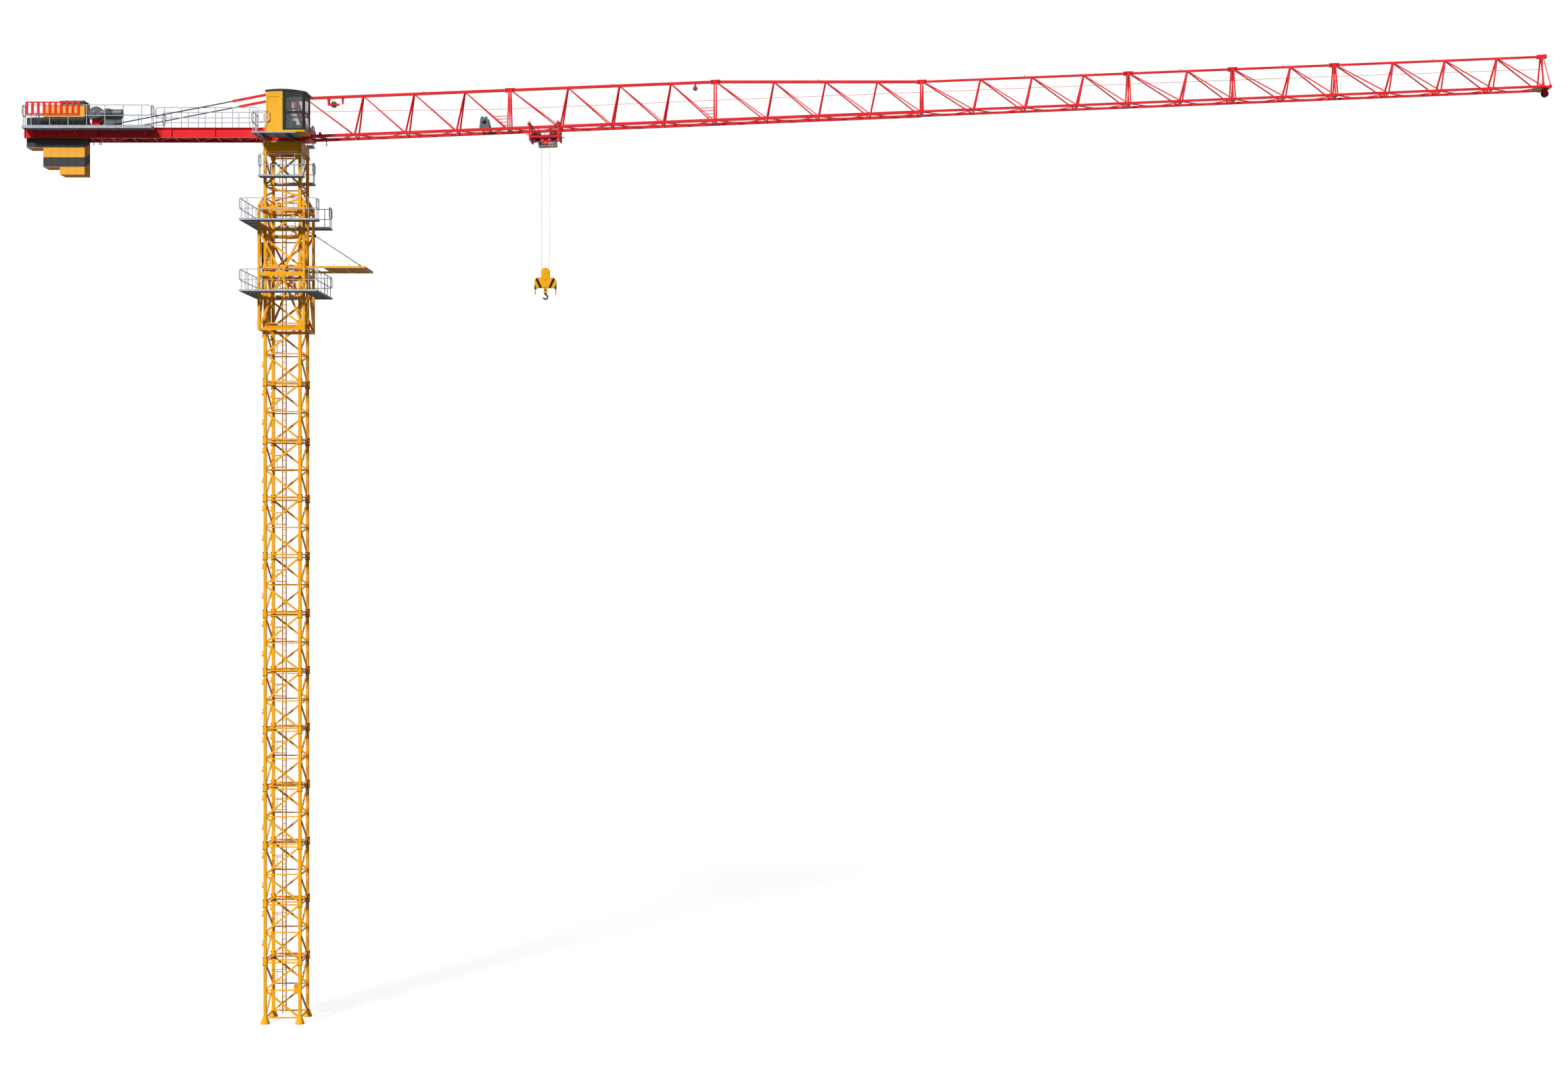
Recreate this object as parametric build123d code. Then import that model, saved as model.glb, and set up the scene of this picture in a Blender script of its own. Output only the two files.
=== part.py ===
"""Flat-top tower crane as a 1:2 scale model.

Millimetres, Z up, jib toward +X, the near left foot on the origin.
"""

import math
import os

from build123d import *

os.makedirs("parts", exist_ok=True)

# Mast: square lattice of equal sections
leg_spacing = 835.0
leg_size = 68.0
section_height = 1390.0
section_count = 15
foot_height = 110.0
foot_radius = 111.0
sleeve_size = 98.0
sleeve_length = 158.0
foot_rim = 14.0
brace_depth = 30.0
brace_width = 44.0
# Climbing frame around the upper mast, with its platforms
frame_gap = 56.0
post_size = 60.0
deck_width = 357.0
deck_thickness = 40.0
rail_height = 485.0
rail_size = 15.0
knee_height = 235.0
rail_bend = 45.0
deck_rib = 12.0
deck_plate = 8.0
deck_bay = 450.0
intro_length = 1432.0
intro_beam = 45.0
plank_setback = 400.0
feed_rail = 35.0
service_width = 298.0
# Slewing gear
support_height = 240.0
support_plate = 24.0
race_height = 36.0
race_width = 90.0
running_gap = 0.5
turntable_height = 275.0
# Jib: straight running rails rising from root to tip
jib_sections = [4765.0, 4975.0, 5000.0, 5000.0, 2525.0, 2465.0, 5025.0]
jib_bays = [4, 4, 4, 4, 2, 2, 4]
jib_rise = 1201.0
gauge = 590.0
inner_chord = 65.0
outer_chord = 52.0
root_depth = 975.0
tip_depth = 775.0
web_bar = 34.0
web_tie = 24.0
web_plate = 30.0
web_lean = 170.0
root_pitch = 1229.0
joint_gap = 0.3
# Cab
cab_length = 920.0
cab_depth = 650.0
cab_height = 910.0
cab_wall = 25.0
cab_corner = 36.0
roof_crown = 14.0
roof_fall = 52.0
roof_thickness = 32.0
# Trolley and hook
trolley_run = 5620.0
arm_spacing = 694.0
rope_spread = 190.0
rope_radius = 4.0
trolley_sheave_radius = 100.0
wheel_radius = 45.0
hoist_drop = 3366.0
# Counter jib
counter_length = 5750.0
girder_height = 250.0
girder_flange = 80.0
walkway_width = 300.0
slab_thickness = 200.0

# Levels and lines that follow from the sizes above
mast_top = foot_height + section_height * section_count
half_leg = leg_spacing / 2
half_sleeve = sleeve_length / 2
leg_outer = half_leg + leg_size / 2
sleeve_outer = half_leg + sleeve_size / 2
joints_z = [foot_height + section_height * k for k in range(section_count + 1)]
post_inner = leg_outer + frame_gap
half_post = post_inner + post_size / 2
post_outer = post_inner + post_size
frame_bottom = joints_z[section_count - 3] - half_sleeve - 61
frame_top = joints_z[section_count - 1] + 30
frame_middle = frame_bottom + (frame_top - frame_bottom) * 0.458
ring_half = post_outer + joint_gap + deck_width
upper_deck_z = frame_top - 320
lower_deck_z = frame_bottom + (frame_middle - frame_bottom) * 0.69
ring_z = mast_top + support_height
turntable_z = ring_z + race_height * 2 + running_gap
turntable_top = turntable_z + turntable_height
rail_outer = gauge / 2
rail_top = inner_chord / 2
web_foot_y = rail_outer - inner_chord + web_plate / 2
web_head_y = web_plate / 2 + 4
table_side = rail_outer + 35
table_front = table_side + 315
jib_root_x = table_front + joint_gap
jib_root_z = turntable_top - 205
jib_joints = [jib_root_x + sum(jib_sections[:k]) for k in range(8)]
slope = jib_rise / sum(jib_sections)
slope_deg = math.degrees(math.atan(slope))
counter_start = -table_front + 145
counter_end = counter_start - counter_length
girder_outer = table_side - 5
girder_top = turntable_top
girder_bottom = girder_top - girder_height
trolley_x = jib_root_x + trolley_run
rope_half = rope_spread / 2
trolley_axle = -trolley_sheave_radius - 70


def box(x0, x1, y0, y1, z0, z1):
    """A block between two opposite corners."""
    return Solid.make_box(x1 - x0, y1 - y0, z1 - z0, Plane((x0, y0, z0)))


def bar(start, end, width, height=None):
    """A straight bar of rectangular section between two points, its width kept level."""
    height = height or width
    along = Vector(*end) - Vector(*start)
    across = Vector(0, 0, 1).cross(along)
    if across.length < 1e-6:
        across = Vector(0, 1, 0)
    plane = Plane(Vector(*start), x_dir=across, z_dir=along)
    corner = plane.from_local_coords((-width / 2, -height / 2, 0))
    return Solid.make_box(width, height, along.length, Plane(corner, x_dir=across, z_dir=along))


def rod(start, end, radius):
    """A round bar between two points."""
    along = Vector(*end) - Vector(*start)
    return Solid.make_cylinder(radius, along.length, Plane(Vector(*start), z_dir=along))


def join(shapes):
    """The shapes welded into one."""
    return shapes[0].fuse(*shapes[1:]) if len(shapes) > 1 else shapes[0]


def plate(points, thickness, plane):
    """A flat plate of the outline given in a plane, thickened along its normal."""
    return extrude(plane * Polygon(*points, align=None), thickness, dir=plane.z_dir)


def save(name, shapes):
    """One node: every solid of the shapes, moved so that the near left foot stands on the origin."""
    origin = Pos(half_leg, half_leg, 0)
    solids = [origin * solid for shape in shapes for solid in shape.solids()]
    export_step(solids[0] if len(solids) == 1 else Compound(solids), f"parts/{name}.step")


def railing(start, end, deck, posts):
    """A run of handrail: a loop of top rail and knee rail with bent corners, standing on posts."""
    along = Vector(end[0] - start[0], end[1] - start[1], 0)
    half = rail_size / 2
    reach = along.length / 2 + half
    tall = (rail_height - knee_height) / 2 + half
    loop = []
    for margin in (0, rail_size):
        width = reach - margin
        rise = tall - margin
        bend = rail_bend - margin * 0.586
        corner = [(width, rise - bend), (width - bend, rise), (bend - width, rise), (-width, rise - bend)]
        loop.append(Polygon(*corner, *[(-x, -y) for x, y in corner], align=None))
    middle = Vector((start[0] + end[0]) / 2, (start[1] + end[1]) / 2, deck + (rail_height + knee_height) / 2)
    side = Plane(middle, x_dir=along, z_dir=Vector(0, 0, 1).cross(along))
    pieces = [extrude(side * (loop[0] - loop[1]), half, both=True)]
    for index in range(posts):
        share = (index + 0.5) / posts
        x = start[0] + along.X * share
        y = start[1] + along.Y * share
        foot = deck + joint_gap
        pieces.append(box(x - half, x + half, y - half, y + half, foot, deck + rail_height))
    return join(pieces)


def deck_pan(x0, x1, y0, y1, z, thickness):
    """A deck plate with a rim and evenly spaced cross ribs on its underside."""
    pan = box(x0, x1, y0, y1, z - thickness, z)
    lengthwise = x1 - x0 > y1 - y0
    length = max(x1 - x0, y1 - y0)
    cells = max(round(length / deck_bay), 1)
    pitch = (length - deck_rib) / cells
    low = z - thickness
    high = z - deck_plate
    for index in range(cells):
        first = deck_rib + pitch * index
        last = pitch * (index + 1)
        if lengthwise:
            pan -= box(x0 + first, x0 + last, y0 + deck_rib, y1 - deck_rib, low, high)
        else:
            pan -= box(x0 + deck_rib, x1 - deck_rib, y0 + first, y0 + last, low, high)
    return pan


def four_sides(panel, offset):
    """The panel of the front side turned to front, right, back and left."""
    front = Pos(0, -offset, 0) * panel
    return [Rot(0, 0, quarter * 90) * front for quarter in range(4)]


# Base feet: twelve-sided flared bells on a rim
corners = [(sx * half_leg, sy * half_leg) for sx in (-1, 1) for sy in (-1, 1)]
foot_rings = [(foot_radius, 0), (foot_radius, foot_rim), (foot_radius * 0.66, foot_height * 0.42)]
foot_rings.append((sleeve_size * 0.53, foot_height))
foot = loft([Pos(0, 0, z) * RegularPolygon(radius, 12) for radius, z in foot_rings], ruled=True)
save("base_feet", [Pos(x, y, 0) * foot for x, y in corners])

# Mast legs and the sleeves that bolt the sections together
legs = []
sleeves = []
for x, y in corners:
    for k in range(section_count):
        low = joints_z[k] + (half_sleeve if k else 0)
        high = joints_z[k + 1] - half_sleeve
        edge = leg_size / 2
        legs.append(Pos(x, y, 0) * box(-edge, edge, -edge, edge, low, high))
        cap = min(joints_z[k + 1] + half_sleeve, mast_top)
        reach = sleeve_size / 2
        sleeves.append(Pos(x, y, 0) * box(-reach, reach, -reach, reach, high, cap))
save("mast_legs", legs)
save("mast_joint_sleeves", sleeves)

# Mast bracing: one flat K panel per section and side
clear_half = half_leg - leg_size / 2
sleeve_inner = half_leg - sleeve_size / 2
middle = section_height / 2


def side_panel(bars, with_base):
    """Bracing of one mast section side from bars given by their heights at the left and right leg."""
    far = half_leg
    pieces = [bar((-far, 0, left), (far, 0, right), brace_depth, width) for left, right, width in bars]
    panel = join(pieces) & box(-clear_half, clear_half, -brace_depth, brace_depth, 5, section_height - 5)
    for side in (-1, 1):
        inner, outer = sorted((side * sleeve_inner, side * half_leg))
        panel -= box(inner, outer, -brace_depth, brace_depth, section_height - half_sleeve, section_height)
        if with_base:
            panel -= box(inner, outer, -brace_depth, brace_depth, 0, half_sleeve)
    return panel


edge_bar = brace_width * 0.68
cross_bar = brace_width * 0.6
top_bar = (section_height - 35, section_height - 35, edge_bar)
base_bar = (35, 35, edge_bar)
k_bars = [(middle + 4, section_height - 30, brace_width), (middle - 4, 30, brace_width)]
k_bars += [(middle, middle, cross_bar), top_bar, base_bar]
apex = section_height * 0.41
knee = section_height * 0.196
head_bars = [(apex + 6, section_height - 95, brace_width), (apex - 32, knee + 43, brace_width)]
head_bars += [(apex, apex, cross_bar), (knee, knee, cross_bar), (10, knee - 32, brace_width), top_bar]
base_panel = side_panel(k_bars, False)
mast_panel = side_panel(k_bars, True)
head_panel = side_panel(head_bars, True)
side_names = ["front", "right", "back", "left"]
for quarter, side in enumerate(side_names):
    panels = []
    for k in range(section_count):
        panel = mast_panel if k else base_panel
        if k == section_count - 1:
            panel = head_panel
        panels.append(Rot(0, 0, quarter * 90) * (Pos(0, -half_leg, joints_z[k]) * panel))
    save(f"mast_{side}_bracing", panels)

# Ladder and rest platforms inside the mast
inside = half_leg - brace_depth / 2 - joint_gap
ladder_place = Pos(-90, 165, 0) * Rot(0, 0, -13)
ladder_half = 97.5
stile_half = 10.0
stiles = []
for y in (-ladder_half, ladder_half):
    low_y = y - stile_half
    stile = box(-stile_half, stile_half, low_y, y + stile_half, foot_height + 40, mast_top - 60)
    stiles.append(ladder_place * stile)
save("mast_ladder_stiles", stiles)
hatch_half = ladder_half + stile_half + joint_gap
hatch_edge = stile_half + joint_gap
hatch = ladder_place * box(-240, hatch_edge, -hatch_half, hatch_half, 0, section_height)
rest = box(-inside, inside, 40, clear_half - 22, 25, 40) - hatch
for side in (-1, 1):
    low, high = sorted((side * (sleeve_inner - joint_gap), side * half_leg))
    rest -= box(low, high, sleeve_inner - joint_gap, half_leg, 0, section_height)
save("mast_rest_platforms", [Pos(0, 0, joints_z[k]) * rest for k in range(1, section_count)])

# Climbing frame
posts = []
for sx in (-1, 1):
    for sy in (-1, 1):
        post = box(-post_size / 2, post_size / 2, -post_size / 2, post_size / 2, frame_bottom, frame_top)
        posts.append(Pos(sx * half_post, sy * half_post, 0) * post)
save("climbing_frame_posts", posts)


def frame_panel(open_above):
    """Beams and diagonals between two posts of the climbing frame."""
    reach = half_post
    depth = post_size * 0.67
    levels = [(frame_bottom, 70), (frame_middle - 50, 100), (frame_top - 60, 60)]
    pieces = [box(-reach, reach, -depth / 2, depth / 2, z, z + tall) for z, tall in levels]
    for side in (-1, 1):
        pieces.append(bar((0, 0, frame_middle), (side * reach, 0, frame_bottom + 50), depth, 46))
    if open_above:
        for x in (-reach + 70, reach - 70):
            pieces.append(box(x - 25, x + 25, -depth / 2, depth / 2, frame_middle, frame_top - 30))
    else:
        tie_level = upper_deck_z - 230
        pieces.append(box(-reach, reach, -depth / 2, depth / 2, tie_level - 25, tie_level + 25))
        for side in (-1, 1):
            pieces.append(bar((0, 0, frame_middle), (side * reach, 0, tie_level), depth, 46))
    return join(pieces) & box(-post_inner, post_inner, -post_size, post_size, frame_bottom, frame_top)


closed_panels = four_sides(frame_panel(False), half_post)
open_panels = four_sides(frame_panel(True), half_post)
save("climbing_frame_bracing", [closed_panels[0], open_panels[1], closed_panels[2], closed_panels[3]])
ear_foot = joints_z[section_count - 1] + half_sleeve
ear_outline = [
    (sleeve_outer + 1, frame_top),
    (post_outer + 25, frame_top),
    (post_outer + 25, frame_top + 70),
    (leg_outer, ear_foot + 250),
    (leg_outer, ear_foot + 5),
    (sleeve_outer + 1, ear_foot + 5),
]
right_ear = Pos(0, 15, 0) * plate(ear_outline, 30, Plane.XZ)
left_ear = mirror(right_ear, Plane.YZ)
ears = [Pos(0, sy * half_leg, 0) * ear for sy in (-1, 1) for ear in (right_ear, left_ear)]
guides = []
for x, y in corners:
    side = 1 if x > 0 else -1
    low, high = sorted((side * (leg_outer + 0.5), side * (half_post - post_size * 0.335 - joint_gap)))
    guides.append(box(low, high, y - 30, y + 30, frame_bottom + 5, frame_bottom + 55))
save("climbing_frame_fittings", [*ears, *guides])

# Platforms of the climbing frame
deck_inner = post_outer + joint_gap
deck = deck_thickness
rail_line = ring_half - 10


def ring_deck(z):
    """The four deck strips of a platform ring, front, back, left and right."""
    inner = deck_inner
    side = inner - joint_gap
    strips = [deck_pan(-ring_half, ring_half, -ring_half, -inner, z, deck)]
    strips.append(deck_pan(-ring_half, ring_half, inner, ring_half, z, deck))
    strips.append(deck_pan(-ring_half, -inner, -side, side, z, deck))
    strips.append(deck_pan(inner, ring_half, -side, side, z, deck))
    return strips


upper_strips = ring_deck(upper_deck_z)[:3]
lower_strips = ring_deck(lower_deck_z)
for level, z, strips in (("upper", upper_deck_z, upper_strips), ("lower", lower_deck_z, lower_strips)):
    rails = []
    for sy in (-1, 1):
        rails.append(railing((-rail_line, sy * rail_line), (rail_line, sy * rail_line), z, 5))
    rails.append(railing((-rail_line, -rail_line + 20), (-rail_line, rail_line - 20), z, 5))
    if level == "lower":
        rails.append(railing((rail_line, -rail_line + 20), (rail_line, rail_line - 20), z, 5))
    else:
        for sy in (-1, 1):
            near_end = (rail_line, sy * (deck_inner + 20))
            rails.append(railing(near_end, (rail_line, sy * (rail_line - 20)), z, 2))
    save(f"climbing_platform_{level}", [*strips, *rails])

# Introduction platform for mast sections, with its stays
intro_start = post_outer + joint_gap
intro_end = intro_start + intro_length
intro_top = frame_middle + 184
intro_low = intro_top - intro_beam
intro_side = post_outer - 32
inner_side = intro_side - intro_beam
frame_pieces = [box(intro_start, intro_end, -intro_side, -inner_side, intro_low, intro_top)]
frame_pieces.append(box(intro_start, intro_end, inner_side, intro_side, intro_low, intro_top))
for share in (0.04, 0.35, 0.66, 0.97):
    x = intro_start + intro_length * share
    cross_top = intro_low + intro_beam / 2
    frame_pieces.append(box(x - 22, x + 22, -inner_side - 5, inner_side + 5, intro_low, cross_top))
plank_side = inner_side - joint_gap
plank_low = intro_low + intro_beam / 2 + joint_gap
plank_start = intro_start + plank_setback
planks = box(plank_start, intro_end, -plank_side, plank_side, plank_low, intro_top - 2)
feed_outer = post_inner - joint_gap
feed_rails = []
for sy in (-1, 1):
    low, high = sorted((sy * (feed_outer - feed_rail), sy * feed_outer))
    feed_end = half_post - post_size * 0.335 - joint_gap
    feed_rails.append(box(-post_outer, feed_end, low, high, intro_low, intro_top))
save("introduction_platform", [join(frame_pieces), planks, *feed_rails])
stays = []
stay_x = intro_end - 125
stay_top = upper_deck_z - 225
for sy in (-1, 1):
    y = sy * (intro_side - intro_beam / 2)
    lower_eye = box(stay_x - 25, stay_x + 25, y - 10, y + 10, intro_top + joint_gap, intro_top + 32)
    upper_eye = box(intro_start, intro_start + 40, y - 10, y + 10, stay_top - 35, stay_top + 35)
    line = rod((stay_x, y, intro_top + 20), (intro_start + 22, y, stay_top), 9)
    stays.append(join([lower_eye, line, upper_eye]))
save("introduction_platform_stays", stays)

# Service platforms on the top section
service_z = mast_top - section_height * 0.44
service_back = leg_outer + joint_gap
service_edge = service_back + service_width
service_left = -leg_outer - 64
service_right = leg_outer + 94
decks = []
service_rails = []
for sy in (-1, 1):
    low, high = sorted((sy * service_back, sy * service_edge))
    decks.append(deck_pan(service_left, service_right, low, high, service_z, deck))
    line = sy * (service_edge - 10)
    service_rails.append(railing((service_left + 10, line), (service_right - 10, line), service_z, 3))
    for x in (service_left + 10, service_right - 10):
        near_end = (x, sy * (service_back + 15))
        service_rails.append(railing(near_end, (x, sy * (service_edge - 30)), service_z, 2))
save("service_platforms", [*decks, *service_rails])

# Slewing support, slewing ring and turntable
support = box(-leg_outer, leg_outer, -leg_outer, leg_outer, mast_top, ring_z)
support_wall = leg_size - 6
well = leg_outer - support_wall
race_outer = leg_outer - 31
race_inner = race_outer - race_width
support -= box(-well, well, -well, well, mast_top + support_plate, ring_z - 40)
support -= Pos(0, 0, mast_top) * Solid.make_cylinder(race_inner - 30, support_height)
save("slewing_support", [support])
ring = Solid.make_cylinder(race_outer, race_height) - Solid.make_cylinder(race_inner, race_height)
save("slewing_ring", [Pos(0, 0, ring_z) * ring])
hatch_radius = race_inner - 70
table = box(counter_start + joint_gap, table_front, -table_side, table_side, turntable_z, turntable_top)
table -= Pos(0, 0, turntable_z) * Solid.make_cylinder(hatch_radius, turntable_height)
upper_race = Solid.make_cylinder(race_outer, race_height) - Solid.make_cylinder(hatch_radius, race_height)
table = table + Pos(0, 0, turntable_z - race_height) * upper_race
save("turntable", [table])

# Tower head
lug_x = table_side
chord_z = jib_root_z + (lug_x - jib_root_x) * slope + root_depth
head_top = chord_z + 160
head_bar = 64.0
foot_y = table_side - 45
head_y = foot_y - 35
foot_z = turntable_top - 50
sill_z = turntable_top + head_bar / 2
front_foot = table_front - 165
back_foot = counter_start + 60
middle_z = (turntable_top + head_top) / 2
head_pieces = []
for sy in (-1, 1):
    head_pieces.append(bar((front_foot, sy * foot_y, foot_z), (150, sy * head_y, head_top - 30), head_bar))
    head_pieces.append(bar((back_foot, sy * foot_y, foot_z), (40, sy * head_y, head_top - 30), head_bar))
    head_pieces.append(bar((back_foot, sy * foot_y, sill_z), (front_foot, sy * foot_y, sill_z), 60, head_bar))
    rung_y = sy * (foot_y + head_y) / 2
    back_x = (back_foot + 40) / 2
    front_x = (front_foot + 150) / 2
    head_pieces.append(bar((back_x, rung_y, middle_z), (front_x, rung_y, middle_z), 44))
for x in (back_foot + 20, front_foot - 25):
    head_pieces.append(bar((x, -foot_y, sill_z), (x, foot_y, sill_z), head_bar))
beam_end = foot_y + 20.7
head_pieces.append(box(40, 160, -beam_end, beam_end, head_top - 90, head_top))
head_pieces.append(box(60, lug_x, -40, 40, chord_z - 50, head_top - 20))
head = join(head_pieces) & box(counter_start, table_front, -table_side, table_side, turntable_top, head_top)
save("tower_head", [head])

# Slewing drives beside the tower head
drives = []
drive_radius = 75.0
for sy in (-1, 1):
    body = Solid.make_cylinder(drive_radius, 150) + Pos(0, 0, 150) * Solid.make_cylinder(55, 170)
    drives.append(Pos(back_foot + 62 + drive_radius, sy * foot_y * 0.53, turntable_top) * body)
save("slewing_drives", drives)

# Cab with its platform on the near side
cab_back_x = -leg_outer + 236
cab_front_x = cab_back_x + cab_length
cab_split = cab_back_x + cab_length * 0.435
cab_far = -table_side - 245
cab_near = cab_far - cab_depth
deck_top = turntable_z + 9
cab_floor_z = deck_top + joint_gap
wall = cab_wall
deck_left = cab_back_x - 335
deck_right = cab_split + 315
plates = [deck_pan(deck_left, deck_right, cab_near - 20, cab_far, deck_top, 30)]
arm_end = -race_outer - 20
brackets = []
gusset_edge = -leg_outer * 1.48
for x in (deck_left + 223, deck_right - 215):
    arm_low = deck_top - 75
    arm_high = deck_top - 30 - joint_gap
    arm_outline = [(cab_near, arm_low), (gusset_edge, arm_low - 80), (gusset_edge, arm_low)]
    arm_outline += [(arm_end, arm_low), (arm_end, arm_high), (cab_near, arm_high)]
    arm = Pos(x - 25, 0, 0) * plate(arm_outline, 50, Plane.YZ)
    riser = box(x - 25, x + 25, arm_end - 20, arm_end, arm_low, deck_top + 60)
    root = box(x - 25, x + 25, arm_end - 20, -table_side - joint_gap, deck_top + 10, deck_top + 60)
    brackets.append(join([arm, riser, root]))
    short_arm = box(x - 25, x + 25, cab_far - 300, arm_end, arm_low, arm_high)
    brackets.append(mirror(join([short_arm, riser, root]), Plane.XZ))
save("platform_brackets", brackets)
near_line = cab_near - 10
cab_rails = [railing((deck_left + 10, near_line), (cab_back_x + 95, near_line), deck_top, 2)]
cab_rails.append(railing((deck_left + 10, near_line + 20), (deck_left + 10, cab_far - 10), deck_top, 3))
save("cab_platform", [*plates, *cab_rails])
far_deck = deck_pan(deck_left, deck_right, -cab_far, -cab_far + 310, deck_top, 30)
far_line = -cab_far + 300
far_rails = [railing((deck_left + 10, far_line), (deck_right - 10, far_line), deck_top, 3)]
for x in (deck_left + 10, deck_right - 10):
    far_rails.append(railing((x, -cab_far + 15), (x, far_line - 20), deck_top, 2))
save("far_platform", [far_deck, *far_rails])
save("cab_floor", [box(cab_back_x, cab_front_x, cab_near, cab_far, cab_floor_z, cab_floor_z + 40)])
sill = cab_floor_z + 40 + joint_gap
cab_eaves = sill + cab_height
crown_z = cab_eaves + roof_crown * 3


def roof_line(back_lift, crown_lift, front_lift):
    """Arched roof line past both ends of the cab, lifted over the eaves at back, crown and front."""
    back = (cab_back_x - 8, cab_eaves + back_lift)
    crown = (cab_split, cab_eaves + roof_crown + crown_lift)
    front = (cab_front_x + 55, cab_eaves - roof_fall + front_lift)
    return ThreePointArc(back, crown, front)


def under_arch(lower, upper):
    """The slab between two roof lines, wider than the cab by its overhang."""
    ends = [Line(lower @ 0, upper @ 0), Line(lower @ 1, upper @ 1)]
    slab = extrude(Plane.XZ * make_face([lower, upper, *ends]), cab_depth + 24, dir=(0, -1, 0))
    return Pos(0, cab_far + 12, 0) * slab


def cab_shell(x0, x1, rounded_side):
    """Upright cab wall with two rounded corners at one end, open at the other end, cut off under the roof."""
    depth = cab_far - cab_near
    shell = []
    for inset, bend in ((0, cab_corner), (wall, cab_corner - wall)):
        outline = Pos((x0 + x1) / 2, (cab_near + cab_far) / 2) * Rectangle(x1 - x0, depth - inset * 2)
        outline = fillet(outline.vertices().group_by(Axis.X)[rounded_side], bend)
        shift = -inset if rounded_side else inset
        shell.append(Pos(shift, 0, sill) * extrude(outline, crown_z - sill))
    above = under_arch(roof_line(0, 0, 0), roof_line(200, 200, 200))
    return shell[0] - shell[1] - above


def pane_cut(x0, x1, z0, z1, grow):
    """Rounded window opening through a side wall, grown by an allowance."""
    outline = Plane.XZ * RectangleRounded(x1 - x0 + grow, z1 - z0 + grow, 40)
    return Pos((x0 + x1) / 2, 0, (z0 + z1) / 2) * outline


rear = cab_shell(cab_back_x, cab_split, 0)
panel_recess = 8.0
rear_panel = pane_cut(cab_back_x + 45, cab_split - 70, sill + 35, cab_eaves - 120, 0)
for y in (cab_near + panel_recess, cab_far + panel_recess):
    rear -= Pos(0, y, 0) * extrude(rear_panel, panel_recess * 2, dir=(0, -1, 0))
save("cab_rear_panels", [rear])
front = cab_shell(cab_split + joint_gap, cab_front_x, -1)
low_top = sill + cab_height * 0.45
high_foot = sill + cab_height * 0.487
bands = [(sill + 35, low_top), (high_foot, cab_eaves - 104)]
panes = []
pane = 6.0
fit = 0.6
pane_edge = cab_corner + 12
for z0, z1 in bands:
    x0 = cab_split + 70
    x1 = cab_front_x - pane_edge
    side_cut = extrude(pane_cut(x0, x1, z0, z1, 0), cab_depth + wall * 2, dir=(0, -1, 0))
    front -= Pos(0, cab_far + wall, 0) * side_cut
    for y in (cab_near + wall / 2, cab_far - wall / 2):
        side_pane = extrude(pane_cut(x0, x1, z0, z1, -fit), pane / 2, both=True)
        panes.append(Pos(0, y, 0) * side_pane)
    half = cab_depth / 2 - pane_edge
    nose = Pos(cab_front_x - wall / 2, (cab_near + cab_far) / 2, 0) * Rot(0, 0, 90)
    front -= nose * extrude(pane_cut(-half, half, z0, z1, 0), wall, both=True)
    panes.append(nose * extrude(pane_cut(-half, half, z0, z1, -fit), pane / 2, both=True))
save("cab_front_frame", [front])
save("cab_windows", panes)
skin = roof_thickness
roof = under_arch(roof_line(joint_gap, joint_gap, joint_gap), roof_line(skin, skin * 1.4, skin * 1.3))
save("cab_roof", [roof])
seat_y = (cab_near + cab_far) / 2
seat_x = cab_split - 95
seat = box(seat_x, seat_x + 240, seat_y - 110, seat_y + 110, sill + joint_gap, sill + 200)
seat = seat + box(seat_x - 30, seat_x + 20, seat_y - 110, seat_y + 110, sill + joint_gap, sill + 560)
consoles = []
for sy in (-1, 1):
    y = seat_y + sy * 180
    consoles.append(box(seat_x + 60, seat_x + 300, y - 30, y + 30, sill + joint_gap, sill + 300))
save("cab_seat", [seat, *consoles])

# Jib


def rail_z(x):
    """Height of the running rail centre line at a distance from the mast."""
    return jib_root_z + (x - jib_root_x) * slope


def jib_depth(x):
    """Height of the top chord above the running rails, tapering through the third section."""
    share = min(max((x - jib_joints[2]) / (jib_joints[3] - jib_joints[2]), 0), 1)
    return root_depth + (tip_depth - root_depth) * share


def at(x, y, h):
    """Point of the jib at distance x, offset y and height h over the running rails."""
    return (x, y, rail_z(x) + h)


def trimmed(shape, x0, x1):
    """The part of a shape between two upright planes."""
    return shape & box(x0, x1, -gauge, gauge, jib_root_z - root_depth, jib_root_z + jib_rise + root_depth * 2)


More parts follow.
